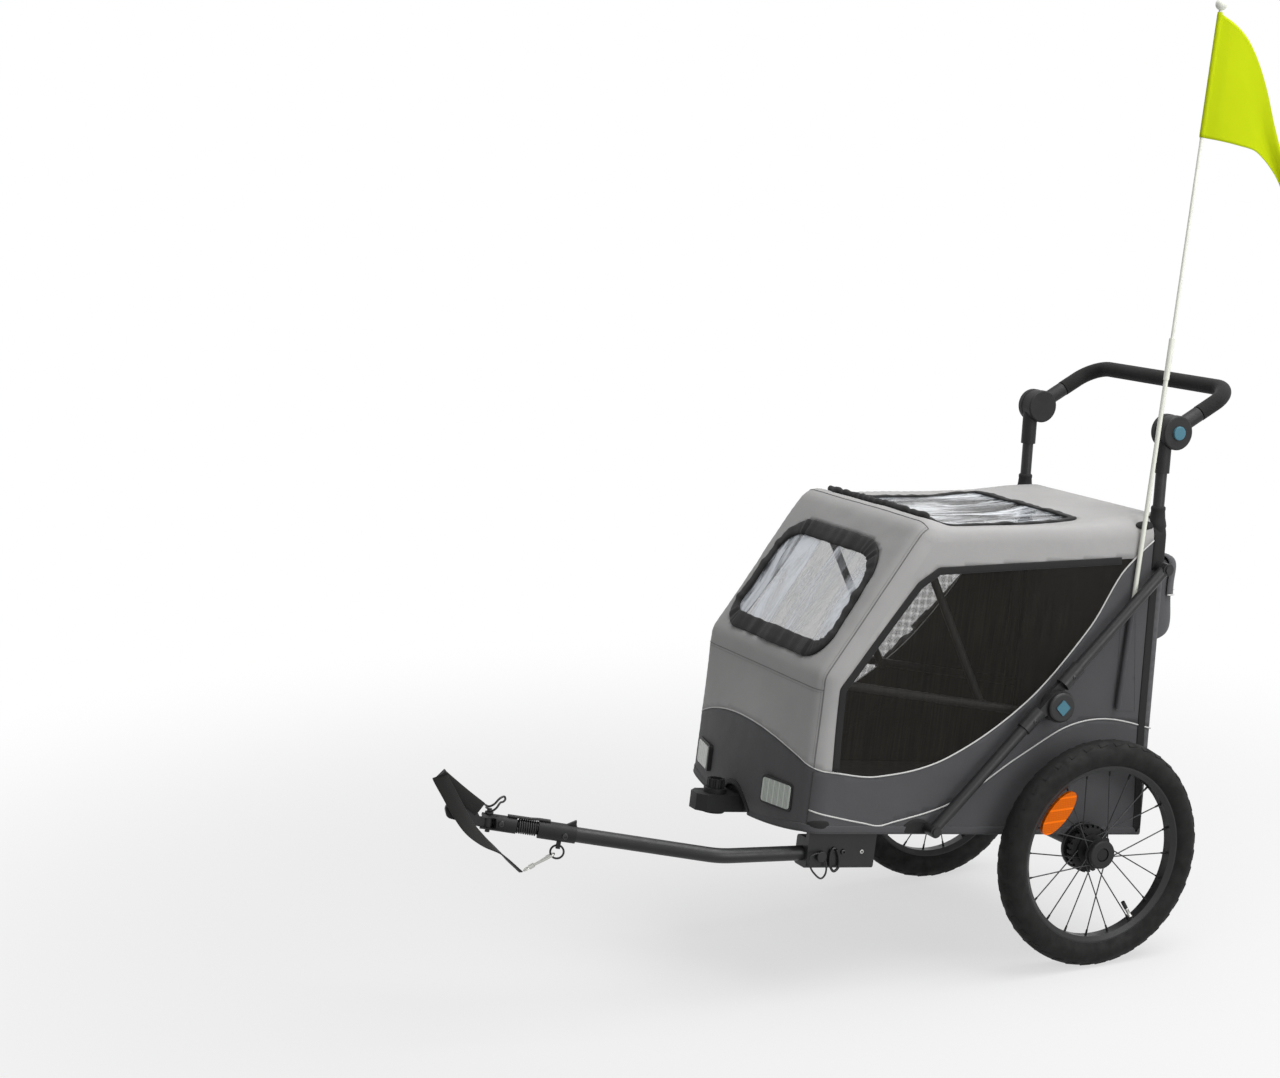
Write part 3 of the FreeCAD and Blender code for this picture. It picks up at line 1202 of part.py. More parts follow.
# Snap hook: a swivel eye at the strap, a barrel and a hook round the tow ring
HOOK_WIRE = 2.3
HOOK_THROAT = 4.8
EYE_MAJOR = 5.0
EYE_WIRE = 1.5
BARREL_R = 4.0
BARREL_LENGTH = 9.0
strap_end = STRAP_STATIONS[-1][0]
ring_mid = hitch_place.multVec(ring_centre)


def snap_hook():
    pull = strap_end.sub(ring_mid).normalize()
    in_ring = pull.sub(Vector(hitch_side).multiply(pull.dot(hitch_side))).normalize()
    caught = along(ring_mid, in_ring, RING_R)
    way = caught.sub(strap_end).normalize()
    aside = Vector(hitch_side).sub(Vector(way).multiply(hitch_side.dot(way))).normalize()
    eye_mid = along(strap_end, way, EYE_MAJOR + EYE_WIRE + 2 * STRAP_T)
    eye = Part.makeTorus(EYE_MAJOR, EYE_WIRE, eye_mid, way.cross(aside))
    barrel_start = along(eye_mid, way, EYE_MAJOR)
    barrel_end = along(barrel_start, way, BARREL_LENGTH)
    barrel = rod(barrel_start, barrel_end, BARREL_R)
    top = along(caught, way, HOOK_THROAT)
    near = along(top, aside, HOOK_THROAT)
    far = along(top, aside, -HOOK_THROAT)
    shank_foot = along(barrel_end, way, -1)
    tip = along(far, way, -3 * HOOK_THROAT)
    spine_turn = along(near, way, -3 * HOOK_THROAT)
    path = [shank_foot, spine_turn, near, far, tip]
    wire = bent_path(path, [2 * HOOK_THROAT, HOOK_THROAT * 0.98, HOOK_THROAT * 0.98])
    profile = Part.Wire(Part.makeCircle(HOOK_WIRE, shank_foot, spine_turn.sub(shank_foot)))
    jaw = wire.makePipeShell([profile], True, False)
    gate = rod(along(tip, way, 1), along(barrel_end, way, -1), HOOK_WIRE * 0.7)
    return fused(eye, barrel, jaw, gate)


nodes["snap_hook"] = snap_hook()

# The whole trailer is pitched nose-up about its axle, then set on the ground with its box centred
span = FreeCAD.BoundBox()
for shape in nodes.values():
    shape.rotate(Vector(0, 0, 0), Vector(1, 0, 0), -TOW_PITCH)
    span.add(shape.optimalBoundingBox(False, False))
STANDING = Vector(0, -(span.YMin + span.YMax) / 2, WHEEL_R)
os.makedirs("parts", exist_ok=True)
for name, shape in nodes.items():
    shape.translate(STANDING)
    shape.exportStep("parts/" + name + ".step")
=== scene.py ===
# A two-wheeled dog trailer: its sewn cover, trim, treads, hitch and flag, and the finish of every surface
import bpy
import bmesh
import json
import math
from bisect import bisect_left
from itertools import accumulate
from mathutils import Matrix, Vector, noise
from mathutils.geometry import delaunay_2d_cdt
from mathutils.kdtree import KDTree


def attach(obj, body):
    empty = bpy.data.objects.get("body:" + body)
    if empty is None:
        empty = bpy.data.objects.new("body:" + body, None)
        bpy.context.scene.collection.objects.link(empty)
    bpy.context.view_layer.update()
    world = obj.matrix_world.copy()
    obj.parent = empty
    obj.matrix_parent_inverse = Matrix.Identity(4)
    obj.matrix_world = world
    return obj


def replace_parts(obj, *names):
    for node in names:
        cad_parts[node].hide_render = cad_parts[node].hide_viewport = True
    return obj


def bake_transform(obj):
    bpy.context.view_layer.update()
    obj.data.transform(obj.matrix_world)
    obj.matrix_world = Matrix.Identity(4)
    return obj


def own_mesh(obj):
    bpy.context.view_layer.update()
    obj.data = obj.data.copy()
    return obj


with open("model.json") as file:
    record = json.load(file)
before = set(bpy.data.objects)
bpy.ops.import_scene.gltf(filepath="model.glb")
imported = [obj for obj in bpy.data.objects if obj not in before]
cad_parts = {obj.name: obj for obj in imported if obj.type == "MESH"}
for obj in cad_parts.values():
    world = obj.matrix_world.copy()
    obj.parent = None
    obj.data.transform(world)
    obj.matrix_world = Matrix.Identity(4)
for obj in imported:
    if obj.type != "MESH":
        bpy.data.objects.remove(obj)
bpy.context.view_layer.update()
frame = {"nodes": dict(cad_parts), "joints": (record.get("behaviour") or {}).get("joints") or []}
nodes = frame["nodes"]
joints = {joint["name"]: joint for joint in frame["joints"]}

# The cover is laid out level, in millimetres from the axle's centre, and pitched nose-up with the trailer
TOW_PITCH = math.radians(7.5)
AXLE = Vector((0, *joints["wheel_left"]["pos_m"][1:3]))
PITCHED = Matrix.Translation(AXLE) @ Matrix.Rotation(-TOW_PITCH, 4, "X") @ Matrix.Scale(0.001, 4)
LEVEL_UP = Vector((0, 0, 1))
FULL_TURN = 2 * math.pi
HANDS = ((1, "left"), (-1, "right"))


class Tree:
    """Builds a tree of nodes, with every socket either linked or set"""

    def __init__(self, tree):
        self.tree = tree

    def feed(self, sockets, *values):
        for socket, value in zip(sockets, values):
            if isinstance(value, bpy.types.NodeSocket):
                self.tree.links.new(value, socket)
            else:
                socket.default_value = value

    def step(self, kind, settings=None, **sockets):
        node = self.tree.nodes.new(kind)
        for key, value in (settings or {}).items():
            setattr(node, key, value)
        for key, value in sockets.items():
            self.feed([node.inputs[key.replace("_", " ")]], value)
        return node

    def sums(self, operation, *values):
        node = self.step("ShaderNodeMath", {"operation": operation})
        self.feed(node.inputs, *values)
        return node.outputs[0]

    def ranged(self, value, low, high, from_low=0.3, from_high=0.7, **settings):
        node = self.step("ShaderNodeMapRange", settings)
        self.feed(node.inputs, value, from_low, from_high, low, high)
        return node.outputs[0]

    def either(self, share, first, second):
        node = self.step("ShaderNodeMixShader")
        self.feed(node.inputs, share, first.outputs[0], second.outputs[0])
        return node.outputs[0]


# Finishes
WAVE_SCALE = 0.314  # a band texture at this scale repeats every metre


class Finish(Tree):
    """A surface material: one main shader, with helpers that feed it colour, roughness and relief"""

    def __init__(self, name, colour, roughness, **sockets):
        self.material = bpy.data.materials.new(name)
        self.material.use_nodes = True
        super().__init__(self.material.node_tree)
        self.shader = self.tree.nodes["Principled BSDF"]
        self.colour = colour
        self.relief = None
        self.give(Base_Color=(*colour, 1.0), Roughness=roughness, **sockets)

    def give(self, **sockets):
        for key, value in sockets.items():
            self.feed([self.shader.inputs[key.replace("_", " ")]], value)
        return self

    def place(self, by_uv=False):
        return self.step("ShaderNodeTexCoord").outputs["UV" if by_uv else "Object"]

    def speckle(self, scale, detail=3.0, by_uv=False):
        cloud = self.step("ShaderNodeTexNoise", Vector=self.place(by_uv), Scale=scale, Detail=detail)
        return cloud.outputs["Fac"]

    def streaks(self, scale, turn=0.0, **sockets):
        """Noise drawn out along the piece's own map"""
        laid = self.step("ShaderNodeMapping", Vector=self.place(True), Rotation=(0, 0, turn), Scale=scale)
        return self.step("ShaderNodeTexNoise", Vector=laid.outputs[0], Scale=1.0, **sockets).outputs["Fac"]

    def bands(self, way, pitch, by_uv):
        place = self.place(by_uv)
        wave = self.step("ShaderNodeTexWave", {"bands_direction": way}, Vector=place, Scale=WAVE_SCALE / pitch)
        return wave.outputs["Fac"]

    def tint(self, factor, low, high):
        """Base colour that runs between two shares of the finish's own"""
        blend = self.step("ShaderNodeMix", {"data_type": "RGBA"}, Factor=factor)
        for socket, share in zip(blend.inputs[6:8], (low, high)):
            socket.default_value = (*(min(channel * share, 1.0) for channel in self.colour), 1.0)
        return self.give(Base_Color=blend.outputs[2])

    def bump(self, height, strength, distance):
        made = self.step("ShaderNodeBump", Height=height, Strength=strength, Distance=distance)
        if self.relief is not None:
            self.feed([made.inputs["Normal"]], self.relief)
        self.relief = made.outputs["Normal"]
        return self.give(Normal=self.relief)

    def mottle(self, scale, spread, by_uv=False):
        """Colour that wanders a little over the surface"""
        return self.tint(self.speckle(scale, by_uv=by_uv), 1 - spread, 1 + spread)

    def sheen_map(self, scale, low, high):
        """Roughness that wanders between two values"""
        return self.give(Roughness=self.ranged(self.speckle(scale), low, high))

    def grain(self, scale, strength, distance, by_uv=False):
        return self.bump(self.speckle(scale, 2.0, by_uv), strength, distance)

    def threads(self, pitch):
        """Over-and-under weave on the piece's own map, which is in metres"""
        ways = [self.bands(way, pitch, True) for way in ("X", "Y")]
        return self.sums("MULTIPLY", *ways), ways

    def woven(self, pitch, strength, spread):
        weave = self.threads(pitch)[0]
        cloud = self.ranged(self.speckle(9.0, 4.0, True), 0.0, 0.5)
        shade = self.sums("ADD", self.ranged(weave, 0.0, 0.5, 0.0, 1.0), cloud)
        return self.tint(shade, 1 - spread, 1 + spread).bump(weave, strength, 0.0002)


def moulded(name, colour, roughness):
    plastic = Finish(name, colour, roughness, Specular_IOR_Level=0.25).mottle(22, 0.16)
    return plastic.sheen_map(40, roughness - 0.06, roughness + 0.1).grain(1100, 0.25, 0.00025).material


def metal(name, colour, roughness):
    bare = Finish(name, colour, roughness, Metallic=1.0)
    lines = bare.speckle(420.0)
    bare.give(Roughness=bare.ranged(lines, roughness - 0.1, roughness + 0.14))
    return bare.bump(lines, 0.08, 0.0002).mottle(35, 0.12).material


def cloth(name, colour, pitch=0.0011, strength=0.5, spread=0.09, shine=0.3, fuzz=0.12):
    sheet = Finish(name, colour, 0.72, Specular_IOR_Level=shine, Sheen_Weight=fuzz, Sheen_Roughness=0.5)
    sheet.woven(pitch, strength, spread)
    return sheet.bump(sheet.speckle(26, 3.0, True), 0.22, 0.004).material


def net(name, colour, pitch):
    """Open knit: threads with see-through gaps between them"""
    knit = Finish(name, colour, 0.7, Specular_IOR_Level=0.25)
    weave, ways = knit.threads(pitch)
    knit.give(Alpha=knit.sums("LESS_THAN", knit.sums("MINIMUM", *ways), 0.17))
    knit.tint(knit.ranged(knit.streaks((300.0, 9.0, 1.0), Detail=2.0), 0, 1), 0.4, 1.7)
    return knit.bump(weave, 0.4, 0.0002).material


def film(name, colour, turn, low, high):
    """Soft clear sheet with long creases, and painted reflections: white and blue-grey streaks painted into its
    colour
    """
    sheet = Finish(name, colour, 0.06, Specular_IOR_Level=0.9, Coat_Weight=0.5, Coat_Roughness=0.05)
    creases_and_reflections = sheet.streaks((16.0, 3.6, 1.0), turn, Detail=5.0, Roughness=0.62, Distortion=0.8)
    # Painted reflections: the crease noise runs the colour from near black to white and makes the white streaks
    # opaque
    shade = sheet.ranged(creases_and_reflections, 0, 1, 0.44, 0.6)
    sheet.tint(shade, 0.06, 1.0).give(Alpha=sheet.ranged(shade, low, high, 0, 1))
    return sheet.bump(creases_and_reflections, 0.5, 0.02).grain(60, 0.25, 0.004, True).material


def prism(name, colour, pitch, bar, way, shine):
    """Moulded reflector: fields of small corner facets, parted by smooth bars, behind a glossy face; their glint is
    painted in, lighter on the bars and facet centres, darker at the facet edges
    """
    lens = Finish(name, colour, 0.14, Specular_IOR_Level=shine, Coat_Weight=0.4 * shine, Coat_Roughness=0.04)
    cells = lens.step("ShaderNodeTexVoronoi", Vector=lens.place(), Scale=1.0 / pitch, Randomness=0.0)
    # Painted glint and shade: the bars and the facet centres are painted lighter, the facet edges darker
    ridge = lens.ranged(lens.bands(way, bar, False), 0, 1, 0.8, 1.0)
    facet_glint = lens.ranged(cells.outputs["Distance"], 0.75, 0.3, 0.1, 0.75)
    lens.tint(lens.sums("MAXIMUM", ridge, facet_glint), 0.55, 1.5)
    return lens.bump(cells.outputs["Distance"], 0.5, 0.001).material


powder_coat = Finish("frame_black", (0.017, 0.017, 0.018), 0.4, Specular_IOR_Level=0.32)
FRAME_BLACK = powder_coat.mottle(30, 0.2).sheen_map(55, 0.33, 0.49).grain(1500, 0.12, 0.0002).material
PLASTIC_BLACK = moulded("plastic_black", (0.014, 0.014, 0.0148), 0.5)
PLASTIC_DARK = moulded("plastic_deep_black", (0.008, 0.008, 0.0085), 0.58)
BLUE_GREY = moulded("blue_grey_plastic", (0.055, 0.16, 0.21), 0.45)
FLOOR_BOARD = moulded("floor_board", (0.028, 0.028, 0.03), 0.7)
SLEEVE_CLOTH = moulded("sleeve_cloth", (0.058, 0.058, 0.062), 0.75)
STEEL = metal("zinc_plate", (0.52, 0.52, 0.5), 0.34)
DARK_STEEL = metal("dark_steel", (0.055, 0.055, 0.057), 0.42)
rubber = Finish("tyre_rubber", (0.0095, 0.0093, 0.009), 0.72, Specular_IOR_Level=0.2)
TYRE = rubber.mottle(28, 0.3).sheen_map(60, 0.6, 0.85).grain(900, 0.35, 0.0004).material
foam = Finish("foam_grip", (0.0125, 0.0122, 0.012), 0.86, Specular_IOR_Level=0.18, Sheen_Weight=0.06)
FOAM = foam.mottle(60, 0.3).grain(700, 0.7, 0.0008).material
CLOTH_GREY = cloth("hood_cloth", (0.335, 0.33, 0.328))
CLOTH_DARK = cloth("skirt_cloth", (0.062, 0.062, 0.066))
CLOTH_BLACK = cloth("binding_cloth", (0.007, 0.0068, 0.0067), 0.0014, 0.8, 0.25, fuzz=0.04)
SEAM_GREY = cloth("seam_cloth", (0.15, 0.147, 0.146), 0.0014)
THREAD_GREY = cloth("thread_grey", (0.2, 0.197, 0.195), 0.001)
THREAD_BLACK = cloth("thread_black", (0.03, 0.03, 0.031), 0.001)
FLAG_GREEN = cloth("flag_cloth", (0.4, 0.485, 0.002), 0.0009, 0.35, 0.06, shine=0.08, fuzz=0.0)
NET = net("side_net", (0.0125, 0.0108, 0.0078), 0.0017)
# The pale colours of the two films are painted reflections of the white surround
FILM = film("window_film", (0.6, 0.64, 0.7), 0.45, 0.2, 0.9)
ROOF_FILM = film("roof_film", (0.74, 0.78, 0.83), 1.25, 0.5, 0.97)
piping = Finish("reflective_piping", (0.5, 0.5, 0.49), 0.42, Specular_IOR_Level=0.5)
PIPING = piping.mottle(120, 0.1, True).grain(2200, 0.3, 0.0003).material
strapping = Finish("strap_webbing", (0.0105, 0.0098, 0.0092), 0.78, Specular_IOR_Level=0.25, Sheen_Weight=0.15)
WEBBING = strapping.woven(0.0026, 0.9, 0.35).material
LENS_WHITE = prism("white_lens", (0.385, 0.415, 0.38), 0.0026, 0.0125, "X", 0.3)
LENS_RED = prism("red_lens", (0.36, 0.006, 0.016), 0.003, 0.014, "Z", 0.2)
LENS_ORANGE = prism("orange_lens", (0.62, 0.115, 0.0005), 0.0034, 0.02, "Z", 0.08)
pole = Finish("pole_rod", (0.66, 0.67, 0.6), 0.36, Specular_IOR_Level=0.5)
POLE_WHITE = pole.mottle(40, 0.1).grain(600, 0.15, 0.0003).material


# Meshes and pieces
def piece(name, mesh, material, body=None, smooth=True):
    made = bpy.data.objects.new(name, mesh)
    bpy.context.scene.collection.objects.link(made)
    mesh.materials.append(material)
    if smooth:
        for face in mesh.polygons:
            face.use_smooth = True
    if body:
        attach(made, body)
    return made


def reworked(mesh, weld=0.0, turn_out=False):
    """The same mesh with its doubled points welded or its faces turned outward"""
    shell = bmesh.new()
    shell.from_mesh(mesh)
    if weld:
        bmesh.ops.remove_doubles(shell, verts=shell.verts, dist=weld)
    if turn_out:
        bmesh.ops.recalc_face_normals(shell, faces=shell.faces)
    shell.to_mesh(mesh)
    shell.free()
    return mesh


def mesh_of(name, points, faces, maps=None, weld=0.0, turn_out=False):
    """A mesh from points, faces and, if given, each point's place on the cloth in metres"""
    mesh = bpy.data.meshes.new(name)
    mesh.from_pydata([tuple(point) for point in points], [], faces)
    if maps:
        layer = mesh.uv_layers.new(name="cut")
        for loop in mesh.loops:
            layer.data[loop.index].uv = maps[loop.vertex_index]
    if weld or turn_out:
        reworked(mesh, weld, turn_out)
    mesh.update()
    return mesh


def grid(name, outer, inner, spot, chart):
    """A sheet laid out in rows and columns, each level-frame spot with its place on the map"""
    points, maps, faces = [], [], []
    width = len(inner)
    for j, v in enumerate(outer):
        for i, u in enumerate(inner):
            point = spot(u, v)
            points.append(PITCHED @ point)
            maps.append(chart(u, v, point))
            if i and j:
                k = j * width + i
                faces.append((k - width - 1, k - 1, k, k - width))
    return mesh_of(name, points, faces, maps)


def ring_faces(rings, sides, closed=False):
    """Faces of a tube of point rings, whose last ring meets the first where it is closed"""
    faces = []
    for j in range(rings if closed else rings - 1):
        a, b = j * sides, (j + 1) % rings * sides
        faces += [(a + k, a + (k + 1) % sides, b + (k + 1) % sides, b + k) for k in range(sides)]
    return faces


def end_faces(rings, sides):
    return [tuple(reversed(range(sides))), tuple(range((rings - 1) * sides, rings * sides))]


def plain(made):
    """Applies a piece's modifiers, so that what is left is one mesh"""
    bpy.context.view_layer.update()
    baked = bpy.data.meshes.new_from_object(made.evaluated_get(bpy.context.evaluated_depsgraph_get()))
    made.modifiers.clear()
    made.data = baked
    return made


def thickened(made, thickness, offset=-1.0, lining=None):
    """Gives a sheet its thickness and, if given, a lining of another cloth on its inner face"""
    shell = made.modifiers.new("cloth", "SOLIDIFY")
    shell.thickness = thickness
    shell.offset = offset
    if lining:
        made.data.materials.append(lining)
        shell.material_offset = 1
    return plain(made)


# Cover: one sheet over the frame, cut along its seams into panels
CLOTH_OUT = 217.0
FILLET = 36.0
FLAT_HALF = CLOTH_OUT - FILLET
WRAP_HALF = FLAT_HALF + FILLET * math.pi / 2
CLOTH_T = 0.0014
HEM_Z = 20.0
NOSE, NOSE_ROUND = (-560.0, 284.0), 40.0
RIDGE, RIDGE_ROUND = (-402.0, 549.0), 48.0
ROOF_REAR = (140.0, 589.9)
SEAM_END_Y, SIDE_SEAM_END = 139.0, 135.0
ARCH_TOP, ARCH_SIDE = 167.0, 122.0
CORNER_Y = NOSE[0] + FILLET
UPPER_SEAM = [(CORNER_Y, 122.0), (-430, 116), (-300, 150), (-150, 255), (-45, 385), (12, 490), (140, 612)]
LOWER_SEAM = [(-410.0, 33.0), (-276, 74), (-150, 157), (-62, 210), (20, 225), (140, 206)]
MESH_CORNERS = [(-514, 60), (-522, 262), (-400, 444), (-366, 470), (36, 510), (60, 300)]
MESH_ROUNDS = [1, 14, 14, 14, 8, 1]
PANEL_STEP = 9.0
SEAM_STEP = PANEL_STEP * 0.8
FRONT_BOW = 22.0
ROOF_DIP = 17.0
UPRIGHT_FOOT = (110.0, 60.0)
UPRIGHT_RUN, UPRIGHT_RISE = 49.0, 672.0
REAR_REACH = 12.0


def upright_y(z):
    return UPRIGHT_FOOT[0] - UPRIGHT_RUN * (z - UPRIGHT_FOOT[1]) / UPRIGHT_RISE


def rear_y(z):
    return upright_y(z) + REAR_REACH


def eased(value, low, high):
    share = min(max((value - low) / (high - low), 0.0), 1.0)
    return share * share * (3 - 2 * share)


def spaced(low, high, step):
    steps = max(1, math.ceil(abs(high - low) / step))
    return [low + (high - low) * k / steps for k in range(steps + 1)]


def rounded(corners, radii, step=4.0, closed=True):
    """A polyline through the corners, each turned on its own radius"""
    line = []
    count = len(corners)
    for i, corner in enumerate(corners):
        here = Vector(corner)
        if not radii[i] or (not closed and i in (0, count - 1)):
            line.append(here)
            continue
        into, out = ((Vector(corners[k % count]) - here).normalized() for k in (i - 1, i + 1))
        half = into.angle(out) / 2
        reach = radii[i] / math.tan(half)
        centre = here + (into + out).normalized() * (radii[i] / math.sin(half))
        start, end = here + into * reach - centre, here + out * reach - centre
        steps = max(3, int(start.angle(end) * radii[i] / step))
        line += [centre + start.slerp(end, k / steps) * radii[i] for k in range(steps + 1)]
    return line


def stepped(line, step, closed=False):
    """The same polyline with points no further apart than step"""
    points = []
    for start, end in zip(line, line[1:] + (line[:1] if closed else [])):
        steps = max(1, math.ceil((end - start).length / step))
        points += [start.lerp(end, k / steps) for k in range(steps)]
    return points if closed else points + [line[-1]]


def through(points, y):
    """Height at y of a smooth seam through the points"""
    i = max(k for k in range(len(points) - 1) if points[k][0] <= y or k == 0)
    (y0, z0), (y1, z1) = points[i], points[i + 1]
    before = points[max(i - 1, 0)]
    after = points[min(i + 2, len(points) - 1)]
    slope0 = (z1 - before[1]) / (y1 - before[0])
    slope1 = (after[1] - z0) / (after[0] - y0)
    u, span = (y - y0) / (y1 - y0), y1 - y0
    return ((2 * u ** 3 - 3 * u ** 2 + 1) * z0 + (u ** 3 - 2 * u ** 2 + u) * span * slope0
            + (3 * u ** 2 - 2 * u ** 3) * z1 + (u ** 3 - u ** 2) * span * slope1)


SIDE_LINE = rounded([(NOSE[0], HEM_Z), NOSE, RIDGE, ROOF_REAR], [0, NOSE_ROUND, RIDGE_ROUND, 0], 3.0, False)
SIDE_LENGTHS = [0.0, *accumulate((end - start).length for start, end in zip(SIDE_LINE, SIDE_LINE[1:]))]
SIDE_END = SIDE_LENGTHS[-1]
LONGEST_CHORD = 4


def line_normal(first, last):
    way = SIDE_LINE[min(last, len(SIDE_LINE) - 1)] - SIDE_LINE[max(first, 0)]
    return Vector((-way.y, way.x)).normalized()


def on_profile(s):
    """Point (y, z) and outward normal at a length along the side profile"""
    i = bisect_left(SIDE_LENGTHS, s, 1, len(SIDE_LENGTHS) - 1) - 1
    start, end = SIDE_LINE[i], SIDE_LINE[i + 1]
    u = (s - SIDE_LENGTHS[i]) / (SIDE_LENGTHS[i + 1] - SIDE_LENGTHS[i])
    normal = line_normal(i, i + 1)
    if (end - start).length <= LONGEST_CHORD:
        normal = line_normal(i - 1, i + 1).lerp(line_normal(i, i + 2), u).normalized()
    return start.lerp(end, u), normal


def on_wrap(s, t):
    """Level-frame point and normal on the sheet that runs up the nose, over the slope and along the roof"""
    point, normal = on_profile(s)
    if abs(t) <= FLAT_HALF:
        return Vector((t, *point)), Vector((0, *normal))
    hand = 1 if t > 0 else -1
    turn = (abs(t) - FLAT_HALF) / FILLET
    drop = point - normal * FILLET * (1 - math.cos(turn))
    return (Vector((hand * (FLAT_HALF + FILLET * math.sin(turn)), *drop)),
            Vector((hand * math.sin(turn), *(normal * math.cos(turn)))))


def on_side(y, z, hand):
    return Vector((hand * CLOTH_OUT, y, z)), Vector((hand, 0, 0))


def length_at(test, low, high):
    """Length along the profile at which the test turns true"""
    for _ in range(40):
        middle = (low + high) / 2
        low, high = (low, middle) if test(middle) else (middle, high)
    return high


def wrap_rear(t):
    """Profile length at which the roof or its shoulder ends at the rear panel"""
    def past(s):
        point = on_wrap(s, t)[0]
        return point.y > rear_y(point.z)
    return length_at(past, SIDE_END - 250, SIDE_END)


def arch_length(t):
    """Profile length of the seam that arches across the nose between the skirt and the hood"""
    x = on_wrap(60.0, t)[0].x
    rise = ARCH_TOP - ARCH_SIDE
    radius = (CLOTH_OUT ** 2 + rise ** 2) / (2 * rise)
    return ARCH_TOP - radius + math.sqrt(radius ** 2 - x ** 2) - HEM_Z


def gusset_length(t):
    """Where the upper seam crosses the rear shoulder of the wrap, or None"""
    def under(s):
        point = on_wrap(s, t)[0]
        return point.z < through(UPPER_SEAM, min(point.y, SEAM_END_Y))
    rear = wrap_rear(t)
    return length_at(under, rear - 120, rear) if under(rear) else None


def inside(point, loop):
    hit = False
    for start, end in zip(loop, loop[1:] + loop[:1]):
        if (start.y > point.y) != (end.y > point.y):
            if point.x < (end.x - start.x) * (point.y - start.y) / (end.y - start.y) + start.x:
                hit = not hit
    return hit


ROW_RISE = 0.866
LEAST_ROOM = 0.6
SLIM_AREA = 0.02


def cut_sheet(edge, seams, step):
    """Triangles of a flat sheet inside its edge, with every seam kept as a line of mesh edges"""
    points, bonds = [], []
    for line, closed in [(edge, True)] + seams:
        first = len(points)
        points += line
        bonds += [(first + k, first + k + 1) for k in range(len(line) - 1)]
        if closed:
            bonds.append((len(points) - 1, first))
    taken = KDTree(len(points))
    for k, point in enumerate(points):
        taken.insert(point.to_3d(), k)
    taken.balance()
    low, high = (Vector((ends(p.x for p in edge), ends(p.y for p in edge))) for ends in (min, max))
    for row in range(int((high.y - low.y) / (step * ROW_RISE)) + 1):
        for column in range(int((high.x - low.x) / step) + 1):
            point = low + Vector(((column + 0.5 * (row % 2)) * step, row * step * ROW_RISE))
            room = taken.find(point.to_3d())[2]
            if room > step * LEAST_ROOM and inside(point, edge):
                points.append(point)
    made = delaunay_2d_cdt([Vector(p) for p in points], bonds, [], 0, 1e-4)
    flat, kept = made[0], []
    for corners in made[2]:
        one, two, three = (flat[corner] for corner in corners)
        middle = (one + two + three) / 3
        slim = abs((two - one).cross(three - one)) < SLIM_AREA * step
        if not slim and inside(middle, edge):
            kept.append((corners, middle))
    return flat, kept


def puffed(point, normal):
    """Slack of the sewn sheet: soft waves between the tubes, drawn flat where tubes and trim lie against it"""
    x, y, z = point
    wave = noise.noise(Vector((x * 0.009, y * 0.007, z * 0.011)) + Vector((3.1, 7.7, 1.3)))
    ripple = noise.noise(Vector((x * 0.03, y * 0.022, z * 0.03)) + Vector((9.2, 1.4, 5.5)))
    free = eased(z, 45, 110) * eased(rear_y(z) - y, 25, 90)
    bow = FRONT_BOW * max(1 - (x / 185) ** 2, 0.0) * eased(-normal.y, 0.5, 1.0)
    dip = ROOF_DIP * eased(y, -396, -318) * (1 - eased(y, -190, 70)) * eased(normal.z, 0.55, 0.97)
    sheet = (1.8 * wave + 0.7 * ripple) * free + bow * eased(z, -30, 45) * eased(262 - z, 0, 130) - dip
    wall = (1.6 * wave - 1.8 + 0.5 * ripple) * free
    share = eased(abs(normal.x), 0.4, 1.0)
    return point + normal * (sheet * (1 - share) + wall * share)


# Lines on the cover: where the panels meet and where the windows are let in
def slope_length(along):
    """Profile length at a distance up the window slope from the nose corner"""
    way = (Vector(RIDGE) - Vector(NOSE)).normalized()
    target = Vector(NOSE) + way * along
    return length_at(lambda s: (on_profile(s)[0] - target).dot(way) > 0, 150, 620)


def roof_length(y):
    return length_at(lambda s: on_profile(s)[0].x > y, 500, SIDE_END)


def window_loop(low, high, half_low, half_high, radii):
    corners = [(-half_low, low), (half_low, low), (half_high, high), (-half_high, high)]
    return stepped(rounded(corners, radii, 4.0), SEAM_STEP, True)


def side_seam(points, stop):
    line = []
    for y in spaced(points[0][0], SIDE_SEAM_END, SEAM_STEP):
        z = through(points, y)
        if stop(y, z):
            break
        line.append(Vector((y, z)))
    return line


def gusset_line(hand):
    line = []
    for t in spaced(WRAP_HALF, FLAT_HALF, 3.0):
        cross = gusset_length(t)
        if cross is None:
            break
        line.append(Vector((hand * t, cross)))
    return line


HEM_DROP, HEM_HALF = 16.0, 200
OPENING_HALF, OPENING_FOOT, OPENING_RISE = 42.0, -14.0, 40.0


def hem_length(t):
    """Profile length of the front hem, which hangs lower across the nose"""
    return -HEM_DROP * max(1 - (t / HEM_HALF) ** 2, 0.0)


def opening_length(t, wider=0.0):
    """Profile length of the arch cut out of the front hem above the nose-wheel socket"""
    share = max(1 - (t / (OPENING_HALF + wider)) ** 2, 0.0)
    return OPENING_FOOT + (OPENING_RISE + wider) * math.sqrt(share)


def opening_line(steps, wider=0.0):
    turns = [math.pi * k / steps for k in range(steps + 1)]
    across = [(OPENING_HALF + wider) * math.cos(turn) for turn in turns]
    return [Vector((t, opening_length(t, wider))) for t in across]


